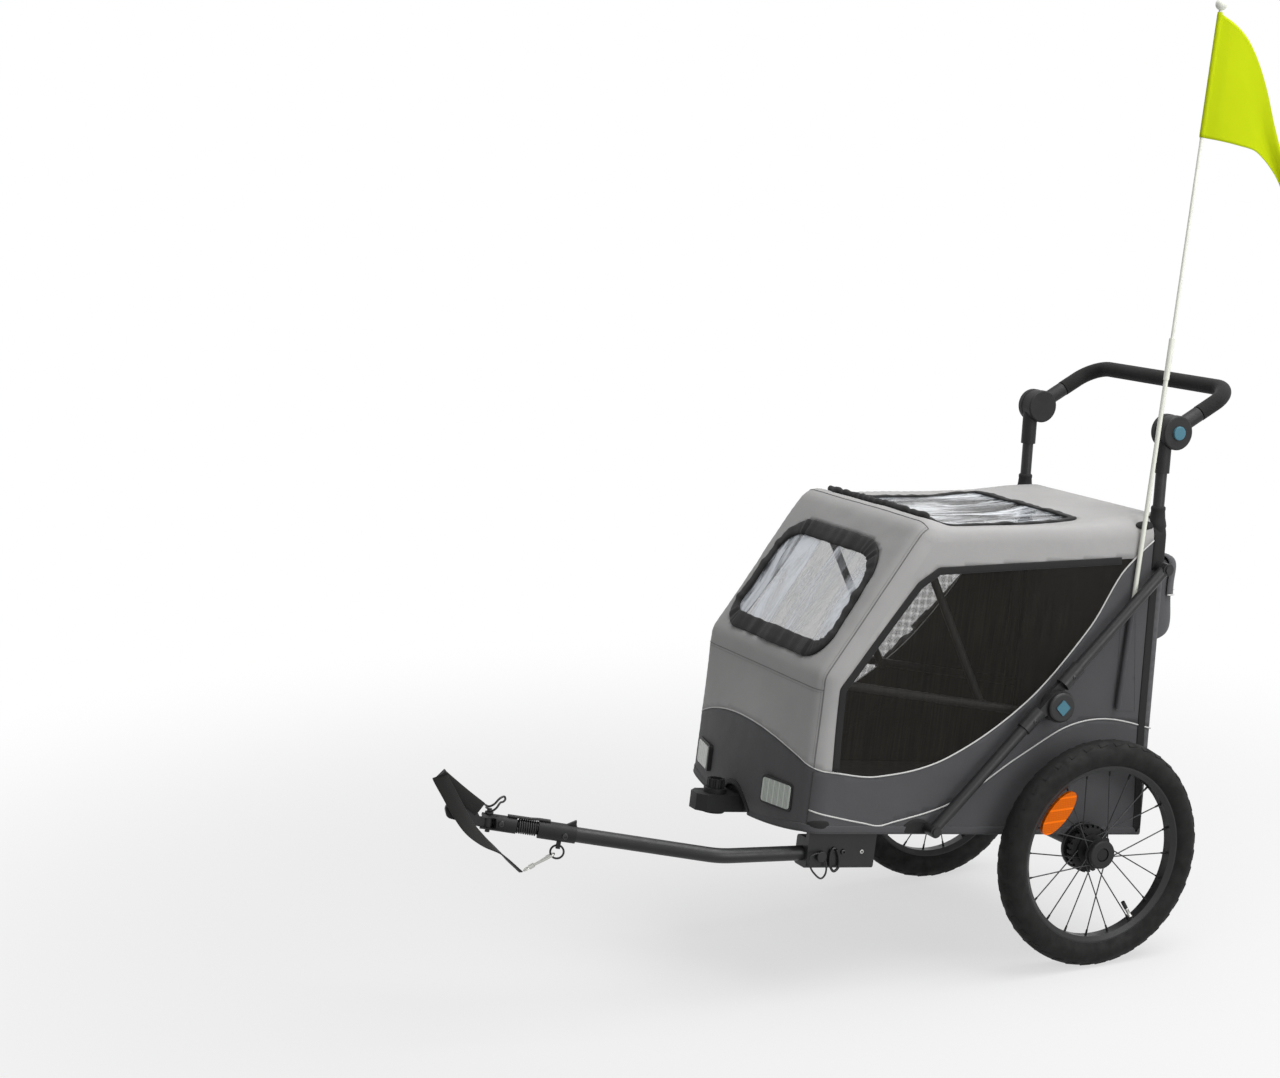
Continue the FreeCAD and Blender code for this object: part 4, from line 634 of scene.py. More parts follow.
SHOULDER_MARKS = [0.0, arch_length(WRAP_HALF), gusset_length(WRAP_HALF), wrap_rear(WRAP_HALF)]
SHOULDER = [s for ends in zip(SHOULDER_MARKS, SHOULDER_MARKS[1:]) for s in spaced(*ends, PANEL_STEP)[:-1]]
SHOULDER.append(SHOULDER_MARKS[-1])
WRAP_ACROSS = spaced(-WRAP_HALF, WRAP_HALF, PANEL_STEP)
ARCH_LINE = [Vector((t, arch_length(t))) for t in WRAP_ACROSS]
FRONT_WINDOW = window_loop(slope_length(20), slope_length(248), 176, 162, [50, 50, 76, 76])
ROOF_WINDOW = window_loop(roof_length(-366), roof_length(-62), 166, 166, [22] * 4)
GUSSET_LINES = {hand: gusset_line(hand) for hand in (1, -1)}
GUSSET_END = on_wrap(SHOULDER_MARKS[2], WRAP_HALF)[0].yz
LOWER_FORE = [(CORNER_Y, 50.0), (-450, 37), (-410, 33), (-276, 74)]
UPPER_LINE = side_seam(UPPER_SEAM, lambda y, z: y > GUSSET_END.x - 3) + [GUSSET_END]
LOWER_LINE = side_seam(LOWER_SEAM, lambda y, z: y > rear_y(z) + 4)
MESH_LOOP = stepped(rounded(MESH_CORNERS, MESH_ROUNDS, 3.0), SEAM_STEP, True)


def over_upper(y, z):
    return z > through(UPPER_SEAM, min(max(y, CORNER_Y), SEAM_END_Y))


def wrap_panel(middle):
    t, s = middle
    if abs(t) < OPENING_HALF and s < opening_length(t):
        return None
    if inside(middle, FRONT_WINDOW):
        return "front_window"
    if inside(middle, ROOF_WINDOW):
        return "roof_window"
    if s < arch_length(t):
        return "skirt"
    cross = gusset_length(abs(t)) if abs(t) > FLAT_HALF and s > 900 else None
    return "skirt" if cross is not None and s > cross else "hood"


def side_panel(middle, hand):
    y, z = middle
    if y > LOWER_LINE[0].x and z < through(LOWER_SEAM, min(y, SEAM_END_Y)):
        return "side_panel_left" if hand > 0 else "side_panel_right"
    if not over_upper(y, z):
        return "skirt"
    return "side_mesh" if inside(middle, MESH_LOOP) else "hood"


def add_triangle(panels, name, flat, corners, lift):
    """Adds one triangle of a flat chart to its panel, lifted onto the cover and facing outward"""
    points, faces, maps = panels.setdefault(name, ([], [], []))
    made = [lift(flat[corner]) for corner in corners]
    spread = (made[1][0] - made[0][0]).cross(made[2][0] - made[0][0])
    order = (0, 1, 2) if spread.dot(made[0][1]) > 0 else (0, 2, 1)
    first = len(points)
    points += [PITCHED @ puffed(*made[k]) for k in order]
    maps += [(flat[corners[k]].x / 1000, flat[corners[k]].y / 1000) for k in order]
    faces.append((first, first + 1, first + 2))


def cut_cover():
    panels = {}
    edge = [Vector((t, hem_length(t))) for t in WRAP_ACROSS[:-1]]
    edge += [Vector((WRAP_HALF, s)) for s in SHOULDER]
    edge += [Vector((t, wrap_rear(t))) for t in reversed(WRAP_ACROSS[1:-1])]
    edge += [Vector((-WRAP_HALF, s)) for s in reversed(SHOULDER[1:])]
    seams = [(ARCH_LINE, False), (opening_line(24), False), (FRONT_WINDOW, True), (ROOF_WINDOW, True)]
    seams += [(line, False) for line in GUSSET_LINES.values()]
    flat, triangles = cut_sheet(edge, seams, PANEL_STEP)
    for corners, middle in triangles:
        panel = wrap_panel(middle)
        if panel:
            add_triangle(panels, panel, flat, corners, lambda p: on_wrap(p.y, p.x))
    front = [on_wrap(s, WRAP_HALF)[0].yz for s in SHOULDER]
    rear = stepped([front[-1], Vector((rear_y(HEM_Z), HEM_Z))], PANEL_STEP)
    hem = stepped([rear[-1], front[0]], PANEL_STEP)
    foot = [Vector((LOWER_LINE[0].x, HEM_Z))]
    seams = [(UPPER_LINE, False), (foot + LOWER_LINE, False), (MESH_LOOP, True)]
    flat, triangles = cut_sheet(front + rear[1:] + hem[1:-1], seams, PANEL_STEP)
    for hand in (1, -1):
        for corners, middle in triangles:
            add_triangle(panels, side_panel(middle, hand), flat, corners, lambda p: on_side(p.x, p.y, hand))
    return panels


def sinks(made):
    """Gives a piece a mesh of its own"""
    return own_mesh(made)


def folds_flat(made):
    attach(made, "chassis")
    return sinks(made)


PANELS = cut_cover()
COVER_FINISH = {
    "hood": (CLOTH_GREY, "cloth_grey"), "skirt": (CLOTH_DARK, "cloth_dark"), "side_mesh": (NET, "mesh_black"),
    "front_window": (FILM, "film"), "roof_window": (ROOF_FILM, "film"),
    "side_panel_left": (CLOTH_DARK, "cloth_dark"), "side_panel_right": (CLOTH_DARK, "cloth_dark"),
}
for name, (finish, slot) in COVER_FINISH.items():
    made = piece("sewn_" + name, mesh_of(name, *PANELS[name], weld=1e-5), finish)
    if finish in (CLOTH_GREY, CLOTH_DARK):
        thickened(made, CLOTH_T, lining=CLOTH_BLACK)
    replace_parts(folds_flat(made), name)


# Trim that follows a line: piping, bindings, tapes and wires
def swept(name, stations, profile, closed=False):
    """A band or cord of one cross-section along stations of level-frame point and upward normal"""
    count = len(stations)
    points, maps = [], []
    run = 0.0
    for k, (point, normal) in enumerate(stations):
        before = stations[k - 1][0] if k or closed else point
        after = stations[(k + 1) % count][0] if k < count - 1 or closed else point
        way = (after - before).normalized()
        across = way.cross(normal).normalized()
        rise = across.cross(way)
        shape = profile(k) if callable(profile) else profile
        points += [PITCHED @ (point + across * u + rise * v) for u, v in shape]
        run += (point - stations[k - 1][0]).length if k else 0
        maps += [(i * 0.004, run / 1000) for i in range(len(shape))]
    size = len(points) // count
    faces = ring_faces(count, size, closed) + ([] if closed else end_faces(count, size))
    return mesh_of(name, points, faces, maps, turn_out=True)


def round_profile(radius, sides=10):
    turns = [FULL_TURN * i / sides for i in range(sides)]
    return [(radius * math.cos(turn), radius * math.sin(turn)) for turn in turns]


TAPE_CROWN = [(-1.0, 0.0), (-0.97, 0.6), (-0.82, 0.95), (-0.3, 1.0)]
TAPE_CROWN += [(-u, v) for u, v in reversed(TAPE_CROWN)]


def tape_profile(width, height):
    """A folded tape: round edges and a low crown"""
    crown = [(u * width / 2, v * height) for u, v in TAPE_CROWN]
    return crown + [(width * 0.4, -0.6), (-width * 0.4, -0.6)]


def trim(name, stations, profile, finish, body, closed=False):
    return piece(name, swept(name, stations, profile, closed), finish, body)


def along_cover(name, stations, profile, finish, closed=False):
    return folds_flat(trim(name, stations, profile, finish, None, closed))


def on_cover(line, hand=None):
    """Stations on the puffed sheet, from chart points of the wrap or, with a hand, of one side"""
    stations = []
    for point in line:
        place, normal = on_side(point.x, point.y, hand) if hand else on_wrap(point.y, point.x)
        stations.append((puffed(place, normal), normal))
    return stations


def offset_loop(loop, distances):
    """A closed line moved across itself, by its own distance at each point"""
    moved = []
    for k, point in enumerate(loop):
        way = (loop[(k + 1) % len(loop)] - loop[k - 1]).normalized()
        moved.append(point + Vector((way.y, -way.x)) * distances(way))
    return moved


def swell(k, pace, seed, depth):
    return 1 + depth * noise.noise(Vector((k * pace, seed, 0.0)))


def binding(name, loop, narrow, wide, height, seed, depth):
    """A gathered tape inside the edge of a window, wider along its top and bottom than up its sides"""
    widths = []

    def inset(way):
        widths.append(narrow + (wide - narrow) * way.x ** 2)
        return 2 - widths[-1] / 2

    def gathers(k):
        full = swell(k, 0.43, seed, depth)
        return tape_profile(widths[k] * (0.94 + 0.1 * full), height * full)
    return along_cover(name, on_cover(offset_loop(loop, inset)), gathers, CLOTH_BLACK, True)


def gathered_roll(k):
    return [(u, v + 4.0) for u, v in round_profile(6.5 * swell(k, 0.37, 8.2, 0.45), 12)]


binding("front_window_binding", FRONT_WINDOW, 18.0, 30.0, 4.6, 1.5, 0.85)
binding("roof_window_binding", ROOF_WINDOW, 12.0, 14.0, 3.2, 4.5, 0.8)
ROLL_PLACE = roof_length(-372)
roll_line = [Vector((t, ROLL_PLACE + 5 * noise.noise(Vector((t * 0.02, 3.3, 0))))) for t in spaced(-164, 164, 5)]
along_cover("roof_roll", on_cover(roll_line), gathered_roll, CLOTH_BLACK)

# Sewn seams: up both shoulders, across the nose and across the ridge
SHOULDER_SEAM = FLAT_HALF + FILLET * math.pi / 4
SHOULDER_SPLIT = arch_length(SHOULDER_SEAM)
NOSE_SEAM = slope_length(0) - 26
RIDGE_SEAM = roof_length(RIDGE[0] + 6)
WELT, FINE_WELT = round_profile(1.0, 6), round_profile(0.8, 6)
PIPE, ARCH_PIPE = round_profile(1.35), round_profile(0.95)
for hand, name in HANDS:
    line = [Vector((hand * SHOULDER_SEAM, s)) for s in spaced(12, RIDGE_SEAM - 2, 6)]
    skirt_part = [point for point in line if point.y <= SHOULDER_SPLIT]
    hood_part = [point for point in line if point.y >= SHOULDER_SPLIT]
    along_cover("skirt_corner_seam_" + name, on_cover(skirt_part), WELT, THREAD_BLACK)
    along_cover("shoulder_seam_" + name, on_cover(hood_part), WELT, SEAM_GREY)
for name, length in (("nose_seam", NOSE_SEAM), ("ridge_seam", RIDGE_SEAM)):
    line = [Vector((t, length)) for t in spaced(-SHOULDER_SEAM, SHOULDER_SEAM, 6)]
    along_cover(name, on_cover(line), FINE_WELT, SEAM_GREY)

# Piping on the seams, and tapes on the edges of the net, the rear and the hem
net_edges, rear_edges, hem_lines = {}, {}, {}


def turn_length(t):
    """Profile length of the lower piping where it turns onto the nose"""
    return LOWER_FORE[0][1] - HEM_Z + 6 * (WRAP_HALF - t) / (WRAP_HALF - SHOULDER_SEAM)


for hand, name in HANDS:
    seam = on_cover(UPPER_LINE, hand) + on_cover(GUSSET_LINES[hand])[1:]
    along_cover("upper_piping_" + name, seam, PIPE, PIPING)
    fore = [Vector((y, through(LOWER_FORE, y))) for y in spaced(CORNER_Y, LOWER_LINE[0].x, 7)[:-1]]
    turn = [Vector((hand * t, turn_length(t))) for t in spaced(SHOULDER_SEAM, WRAP_HALF, 7)[:-1]]
    seam = on_cover(turn) + on_cover(fore + LOWER_LINE, hand)
    along_cover("lower_piping_" + name, seam, PIPE, PIPING)
    edge = [point for point in offset_loop(MESH_LOOP, lambda way: 3.0) if over_upper(point.x, point.y - 3.0)]
    edge = [point for point in edge if point.x < -500 or over_upper(point.x, point.y - 24.0)]
    split = max(range(len(edge)), key=lambda k: (edge[k] - edge[k - 1]).length)
    net_edges[hand] = on_cover(edge[split:] + edge[:split], hand)
    along_cover("net_binding_" + name, net_edges[hand], tape_profile(13.0, 1.6), CLOTH_BLACK)
    rear_edge = [Vector((rear_y(z) - 9 - 9 * eased(z, 26, 232), z)) for z in spaced(24, 470, 12)]
    rear_edges[hand] = on_cover(rear_edge, hand)
    along_cover("rear_edge_tape_" + name, rear_edges[hand], tape_profile(16.0, 1.4), CLOTH_BLACK)
along_cover("arch_piping", on_cover(ARCH_LINE), ARCH_PIPE, PIPING)
for hand, name in HANDS:
    hem_line = on_cover([Vector((y, HEM_Z + 5)) for y in spaced(rear_y(HEM_Z) - 3, CORNER_Y, 12)], hand)
    across = spaced(WRAP_HALF, OPENING_HALF + 2, 6)[1:]
    hem_lines[hand] = hem_line + on_cover([Vector((hand * t, 5 + hem_length(t))) for t in across])
    along_cover("hem_tape_" + name, hem_lines[hand], tape_profile(14.0, 1.4), CLOTH_DARK)
along_cover("socket_opening_tape", on_cover(opening_line(32, 4.0)), tape_profile(9.0, 2.0), CLOTH_BLACK)
# Painted shade: a strip of black cloth 10 mm behind the socket opening, so that the opening shows dark
shade_sheet_line = on_cover([Vector((t, 12.0)) for t in spaced(-54, 54, 6)])
shade_sheet_line = [(place - normal * 10, normal) for place, normal in shade_sheet_line]
along_cover("socket_opening_shade_sheet", shade_sheet_line, tape_profile(52.0, 1.0), CLOTH_BLACK)


# Rear panel and pocket, on the plane that leans with the uprights
LEAN = math.atan2(UPRIGHT_RUN, UPRIGHT_RISE)
REAR_OUT = Vector((0, math.cos(LEAN), math.sin(LEAN)))
PANEL_FACE, PANEL_FOOT, PANEL_HEAD = 10.6, 26.0, 583.5
POCKET_FACE, POCKET_HALF, POCKET_FOOT, POCKET_TOP = 12.2, 184, 357, 507
FLAP_LOW, FLAP_HIGH, FLAP_SAG = 440.0, 514.0, 8.0


def behind(x, z, depth):
    return Vector((x, upright_y(z), z)) + REAR_OUT * depth


def rear_sheet(name, columns, rows, place):
    mesh = grid(name, rows, columns, place, lambda u, v, spot: (spot.x / 1000, spot.z / 1000))
    return piece(name, mesh, CLOTH_DARK, "rear_frame")


def on_rear(x, share):
    """Point on the rear panel, from its foot up to the roof's underside, which falls away over the shoulders"""
    beyond = max(abs(x) - FLAT_HALF, 0.0)
    high = PANEL_HEAD - FILLET + math.sqrt(FILLET ** 2 - beyond ** 2)
    z = PANEL_FOOT + (high - PANEL_FOOT) * share
    wave = 0.9 * noise.noise(Vector((x * 0.012, 2.0, z * 0.01)))
    return behind(x, z, PANEL_FACE + CLOTH_T * 1000 + wave)


def bag_depth(x, z, half, low, high, deep):
    """Fullness of the sagging pocket: round at its edges, fullest below its middle"""
    side = max(1 - abs(x / half) ** 20, 0.0) ** 0.5
    rise = (z - low) / (high - low)
    height = max(1 - abs(2 * rise - 1) ** 9, 0.0) ** 0.5 * (1.04 - 0.1 * rise)
    slack = 1 + 0.07 * noise.noise(Vector((x * 0.02, 5.0, z * 0.022)))
    return deep * side * height * slack


def on_bag(x, z):
    return behind(x, z, POCKET_FACE + bag_depth(x, z, 184.2, 356.8, 507.2, 68.0))


def on_flap(x, z):
    share = (FLAP_HIGH - z) / (FLAP_HIGH - FLAP_LOW)
    return behind(x, z, POCKET_FACE + 2.0 + max(bag_depth(x, z, 187.5, 352, 516, 69.0), 3.0 * share))


def flap_edge(x):
    return FLAP_LOW - FLAP_SAG * (1 - (x / POCKET_HALF) ** 4)


POCKET_STEP = 2.5
ACROSS_POCKET = spaced(POCKET_HALF, -POCKET_HALF, POCKET_STEP)
rear = rear_sheet("sewn_rear_panel", spaced(206, -206, 12), spaced(0, 1, 0.025), on_rear)
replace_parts(thickened(rear, CLOTH_T, lining=CLOTH_BLACK), "rear_panel")
bag = rear_sheet("sewn_pocket", ACROSS_POCKET, spaced(POCKET_FOOT, POCKET_TOP, POCKET_STEP), on_bag)
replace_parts(bag, "rear_pocket")
flap = rear_sheet("pocket_flap", ACROSS_POCKET, spaced(0, 1, 0.05),
                  lambda x, v: on_flap(x, flap_edge(x) + (FLAP_HIGH - flap_edge(x)) * v))
thickened(flap, CLOTH_T, 1.0)
flap_line = [(on_flap(x, flap_edge(x)) + REAR_OUT * 1.2, REAR_OUT) for x in ACROSS_POCKET]
trim("flap_piping", flap_line, PIPE, PIPING, "rear_frame")
PANEL_ZIP = rounded([(-196, 94), (-196, 562), (196, 562), (196, 94)], [0, 14, 14, 0], 4.0, False)
zip_line = [(behind(p.x, p.y, POCKET_FACE + 0.4), REAR_OUT) for p in stepped(PANEL_ZIP, 10)]
trim("rear_zip_tape", zip_line, tape_profile(17.0, 1.0), CLOTH_BLACK, "rear_frame")


# Stretch boots where the uprights leave the roof
def lathed(name, start, way, profile, material, body, sides=32):
    """A round piece turned about a line in the level frame, from (distance along, radius) pairs"""
    way = way.normalized()
    across = way.orthogonal().normalized()
    beside = way.cross(across)
    points, maps = [], []
    for distance, radius in profile:
        for k in range(sides):
            turn = FULL_TURN * k / sides
            out = across * math.cos(turn) + beside * math.sin(turn)
            points.append(PITCHED @ (start + way * distance + out * radius))
            maps.append((turn * 0.012, distance / 1000))
    faces = ring_faces(len(profile), sides) + end_faces(len(profile), sides)
    return piece(name, mesh_of(name, points, faces, maps), material, body)


UPRIGHT_WAY = Vector((0, -UPRIGHT_RUN, UPRIGHT_RISE)).normalized()
UPRIGHT_X, BOOT_FOOT = 204.0, 550.0
BOOT = [(0, 12.4), (6, 13.6), (18, 16.5), (24, 15.4), (32, 13.4), (44, 12.2), (47, 12.8), (50, 12.6), (52, 11.2),
        (52, 10.2)]
for hand, name in HANDS:
    foot = Vector((hand * UPRIGHT_X, upright_y(BOOT_FOOT), BOOT_FOOT))
    lathed("upright_boot_" + name, foot, UPRIGHT_WAY, BOOT, CLOTH_BLACK, "rear_frame")

# Flag: bright coated cloth with a hemmed sleeve round the pole and long soft folds to its tip
POLE_X, POLE_Y = 222.2, 33.0
FLAG_FOOT, FLAG_TOP = 1233.0, 1442.0
FLAG_LOW_EDGE = [(POLE_Y, FLAG_FOOT), (100, 1229), (160, 1222), (200, 1196), (224, 1152)]
FLAG_HIGH_EDGE = [(POLE_Y, FLAG_TOP), (95, 1404), (160, 1325), (203, 1236), (228, 1158)]
FLAG_HEM = [(0.0, 3.3), (0.0, 4.3), (6.0, 4.6), (203.0, 4.6), (209.0, 4.3), (209.0, 3.3)]
FLAG_COLUMNS, FLAG_ROWS = 44, 40


def spline_at(points, u):
    """Point at share u along a smooth line through the points"""
    place = min(u * (len(points) - 1), len(points) - 1.0001)
    i = int(place)
    p0, p1, p2, p3 = (Vector(points[min(max(i + k, 0), len(points) - 1)]) for k in (-1, 0, 1, 2))
    w = place - i
    straight, bend, twist = p2 - p0, 2 * p0 - 5 * p1 + 4 * p2 - p3, 3 * p1 - p0 - 3 * p2 + p3
    return 0.5 * (2 * p1 + straight * w + bend * w ** 2 + twist * w ** 3)


def smooth_line(points, steps=8):
    """Points on a smooth line through the given ones"""
    count = len(points) - 1
    return [spline_at(points, k / steps / count) for k in range(count * steps + 1)]


def on_flag(v, u):
    low, high = spline_at(FLAG_LOW_EDGE, u), spline_at(FLAG_HIGH_EDGE, u)
    point = low.lerp(high, v)
    sway = 9.0 * math.sin(u * 4 * math.pi * 0.6) + 5.0 * u * math.sin(v * 4.2 + u * 5.0 + 0.6)
    ripple = 2.2 * noise.noise(Vector((u * 5.0, v * 2.2, 0.7))) * eased(u, 0.02, 0.3)
    return Vector((POLE_X + sway * eased(u, 0.0, 0.12) + ripple, point.x, point.y))


flag_mesh = grid("pennant", [i / FLAG_COLUMNS for i in range(FLAG_COLUMNS + 1)],
                 [j / FLAG_ROWS for j in range(FLAG_ROWS + 1)], on_flag, lambda v, u, spot: (u * 0.26, v * 0.2))
pennant = thickened(piece("pennant", flag_mesh, FLAG_GREEN, "pole"), 0.0009, 0.0)
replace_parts(pennant, "flag")
hem_foot = Vector((POLE_X, POLE_Y, FLAG_FOOT))
hem = lathed("pennant_hem", hem_foot, LEVEL_UP, FLAG_HEM, FLAG_GREEN, "pole")


# What repeats along a line or on a set of spots
class Grower(Tree):
    """A tree of geometry nodes whose named inputs are the sizes of what it repeats"""

    def __init__(self, name):
        super().__init__(bpy.data.node_groups.new(name, "GeometryNodeTree"))
        for way in ("INPUT", "OUTPUT"):
            self.tree.interface.new_socket("Geometry", in_out=way, socket_type="NodeSocketGeometry")
        self.given = self.tree.nodes.new("NodeGroupInput")
        self.made = self.tree.nodes.new("NodeGroupOutput")

    def size(self, name, kind="Float"):
        self.tree.interface.new_socket(name, in_out="INPUT", socket_type="NodeSocket" + kind)
        return self.given.outputs[name]

    def grow(self, kind, settings=None, **sockets):
        return self.step("GeometryNode" + kind, settings, **sockets)

    def close(self, points, instance, rotation):
        laid = self.grow("InstanceOnPoints", Points=points, Instance=instance, Rotation=rotation)
        solid = self.grow("RealizeInstances", Geometry=laid.outputs[0])
        finish = self.size("Finish", "Material")
        dressed = self.grow("SetMaterial", Geometry=solid.outputs[0], Material=finish)
        self.tree.links.new(dressed.outputs[0], self.made.inputs[0])
        return self.tree


def grown(name, guide, tree, sizes, place=None):
    """Runs a tree on a guide mesh and keeps what it makes as one plain mesh"""
    made = bpy.data.objects.new(name, guide)
    bpy.context.scene.collection.objects.link(made)
    grower = made.modifiers.new("grown", "NODES")
    grower.node_group = tree
    for item in tree.interface.items_tree:
        if item.in_out == "INPUT" and item.name in sizes:
            grower[item.identifier] = sizes[item.name]
    plain(made)
    if place:
        made.data.transform(place)
    reworked(made.data, turn_out=True)
    return made


def stitch_tree():
    sew = Grower("stitches")
    pitch, half, radius = (sew.size(name) for name in ("Pitch", "Half Length", "Radius"))
    line = sew.grow("MeshToCurve", Mesh=sew.given.outputs["Geometry"])
    spots = sew.grow("ResampleCurve", {"mode": "LENGTH"}, Curve=line.outputs[0], Length=pitch)
    bead = sew.grow("MeshUVSphere", Segments=6, Rings=4, Radius=1.0)
    shape = sew.step("ShaderNodeCombineXYZ", X=half, Y=radius, Z=radius)
    thread = sew.grow("Transform", Geometry=bead.outputs["Mesh"], Scale=shape.outputs[0])
    way = sew.grow("InputTangent")
    turn = sew.step("FunctionNodeAlignRotationToVector", {"axis": "X"}, Vector=way.outputs[0])
    return sew.close(spots.outputs[0], thread.outputs[0], turn.outputs[0])


def screw_tree():
    """Pan heads with a sunk drive, one on each spot of the guide, facing the way the spot gives"""
    drive = Grower("screw_heads")
    radius, height = drive.size("Radius"), drive.size("Height")
    disc = drive.grow("MeshCircle", {"fill_type": "NGON"}, Vertices=16, Radius=radius)
    upward = drive.step("ShaderNodeCombineXYZ", Z=1.0).outputs[0]
    head = drive.grow("ExtrudeMesh", Mesh=disc.outputs[0], Offset=upward, Offset_Scale=height)
    for scale, rise in ((0.8, 0.15), (0.55, -0.7)):
        top = head.outputs["Top"]
        drawn_in = drive.grow("ScaleElements", Geometry=head.outputs["Mesh"], Selection=top, Scale=scale)
        head = drive.grow("ExtrudeMesh", Mesh=drawn_in.outputs[0], Selection=top, Offset=upward,
                          Offset_Scale=drive.sums("MULTIPLY", height, rise))
    facing = drive.grow("InputNamedAttribute", {"data_type": "FLOAT_VECTOR"}, Name="facing")
    turn = drive.step("FunctionNodeAlignRotationToVector", {"axis": "Z"}, Vector=facing.outputs[0])
    return drive.close(drive.given.outputs["Geometry"], head.outputs["Mesh"], turn.outputs[0])


def tread_tree():
    """One row of shoulder blocks round a tyre, laid about the Z axis"""
    mould = Grower("tread_blocks")
    count, radius = mould.size("Count", "Int"), mould.size("Radius")
    block, lean = mould.size("Block", "Vector"), mould.size("Lean", "Vector")
    ring = mould.grow("MeshCircle", Vertices=count, Radius=radius)
    place = mould.grow("InputPosition")
    parts = mould.step("ShaderNodeSeparateXYZ", Vector=place.outputs[0])
    around = mould.step("ShaderNodeCombineXYZ", Z=mould.sums("ARCTAN2", parts.outputs["Y"], parts.outputs["X"]))
    turn = mould.step("FunctionNodeRotateRotation", {"rotation_space": "LOCAL"}, Rotation=around.outputs[0],
                      Rotate_By=lean)
    cube = mould.grow("MeshCube", Size=block)
    return mould.close(ring.outputs[0], cube.outputs["Mesh"], turn.outputs[0])


STITCHES, SCREWS, TREAD = stitch_tree(), screw_tree(), tread_tree()
STITCH_SIZES = {"Pitch": 0.0034, "Half Length": 0.0012, "Radius": 0.0004}


def stitched(name, rows, finish):
    """Rows of thread, each a list of level-frame points"""
    points, bonds = [], []
    for row in rows:
        first = len(points)
        points += [tuple(PITCHED @ point) for point in row]
        bonds += [(first + k, first + k + 1) for k in range(len(row) - 1)]
    guide = bpy.data.meshes.new(name + "_guide")
    guide.from_pydata(points, bonds, [])
    return grown(name, guide, STITCHES, {**STITCH_SIZES, "Finish": finish})


def screwed(name, spots, radius, height, finish, body):
    """Screw heads at level-frame points, each facing its own way"""
    turn = PITCHED.to_3x3().normalized()
    guide = bpy.data.meshes.new(name + "_guide")
    guide.from_pydata([tuple(PITCHED @ Vector(point)) for point, way in spots], [], [])
    facing = guide.attributes.new("facing", "FLOAT_VECTOR", "POINT")
    for k, (point, way) in enumerate(spots):
        facing.data[k].vector = turn @ Vector(way)
    sizes = {"Radius": radius / 1000, "Height": height / 1000, "Finish": finish}
    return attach(grown(name, guide, SCREWS, sizes), body)


def way_at(points, k):
    return points[min(k + 1, len(points) - 1)] - points[max(k - 1, 0)]


def row_beside(stations, aside, lift):
    """A line beside a seam, at a distance across it and a little above it"""
    row, points = [], [point for point, normal in stations]
    for k, (point, normal) in enumerate(stations):
        across = way_at(points, k).normalized().cross(normal).normalized()
        row.append(point + across * aside + normal * lift)
    return row


black_rows, grey_rows = [], []
SLEEVE_PATCH = rounded([(16, 404), (45, 412), (74, 240), (34, 240)], [3] * 4, 3.0)
for hand, name in HANDS:
    black_rows += [row_beside(net_edges[hand], aside, 1.6) for aside in (-5.6, 5.6)]
    black_rows += [row_beside(rear_edges[hand], aside, 1.4) for aside in (-6.2, 6.2)]
    outline = on_cover(stepped(SLEEVE_PATCH, 6, True) + SLEEVE_PATCH[:1], hand)
    black_rows.append([place + normal * 0.2 for place, normal in outline])
    seam = on_cover([Vector((hand * SHOULDER_SEAM, s)) for s in spaced(SHOULDER_SPLIT + 4, RIDGE_SEAM - 4, 6)])
    grey_rows.append(row_beside(seam, -4.5 * hand, 0.15))
nose = on_cover([Vector((t, NOSE_SEAM)) for t in spaced(-SHOULDER_SEAM + 6, SHOULDER_SEAM - 6, 6)])
grey_rows.append(row_beside(nose, 4.5, 0.15))
black_rows += [row_beside(hem_lines[hand], -4.5 * hand, 1.8) for hand, name in HANDS]
folds_flat(stitched("cover_black_stitches", black_rows, THREAD_BLACK))
folds_flat(stitched("cover_grey_stitches", grey_rows, THREAD_GREY))
flap_row = [on_flap(x, flap_edge(x) + 9) + REAR_OUT * 1.6 for x in spaced(172, -172, 6)]
zip_rows = [row_beside(zip_line, aside, 1.0) for aside in (-6.5, 6.5)]
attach(stitched("rear_stitches", [flap_row] + zip_rows, THREAD_BLACK), "rear_frame")


# Small cloth patches and the corner wraps on the cover
def patch(name, centre, half, lift, lowest=-1e6):
    """A low oval of cloth on the cover, cut off straight at a lowest line where one is given"""
    rings, sides = 5, 36
    points, maps = [], []
    for j in range(rings + 1):
        for k in range(sides):
            share, turn = j / rings, FULL_TURN * k / sides
            x = centre[0] + half[0] * share * math.cos(turn)
            y = max(centre[1] + half[1] * share * math.sin(turn), lowest)
            place, normal = lift(Vector((x, y)))
            points.append(PITCHED @ (puffed(place, normal) + normal * (0.3 + 1.1 * (1 - share ** 4))))
            maps.append((x / 1000, y / 1000))
    mesh = mesh_of(name, points, ring_faces(rings + 1, sides), maps, 1e-6, True)
    return thickened(piece(name, mesh, CLOTH_BLACK), 0.0005, 1.0)


def wrap_spot(p):
    return on_wrap(p.y, p.x)


SLOT_SIDE = FLAT_HALF + FILLET * 0.95
for hand, name in HANDS:
    folds_flat(patch("strut_foot_arch_" + name, (-342, 20), (30, 25), lambda p: on_side(p.x, p.y, hand), 20.5))
    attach(patch("roof_slot_" + name, (hand * SLOT_SIDE, roof_length(42)), (8, 19), wrap_spot), "rear_frame")
    folds_flat(patch("corner_slot_" + name, (hand * (WRAP_HALF - 4), 13), (24, 7), wrap_spot))
    side = on_cover([Vector((rear_y(z) - 13, z)) for z in spaced(492, 546, 6)], hand)
    over = on_cover([Vector((hand * t, wrap_rear(t) - 13)) for t in spaced(WRAP_HALF - 4, FLAT_HALF + 14, 5)])
    along_cover("corner_wrap_" + name, side + over, tape_profile(25.0, 2.2), CLOTH_BLACK)

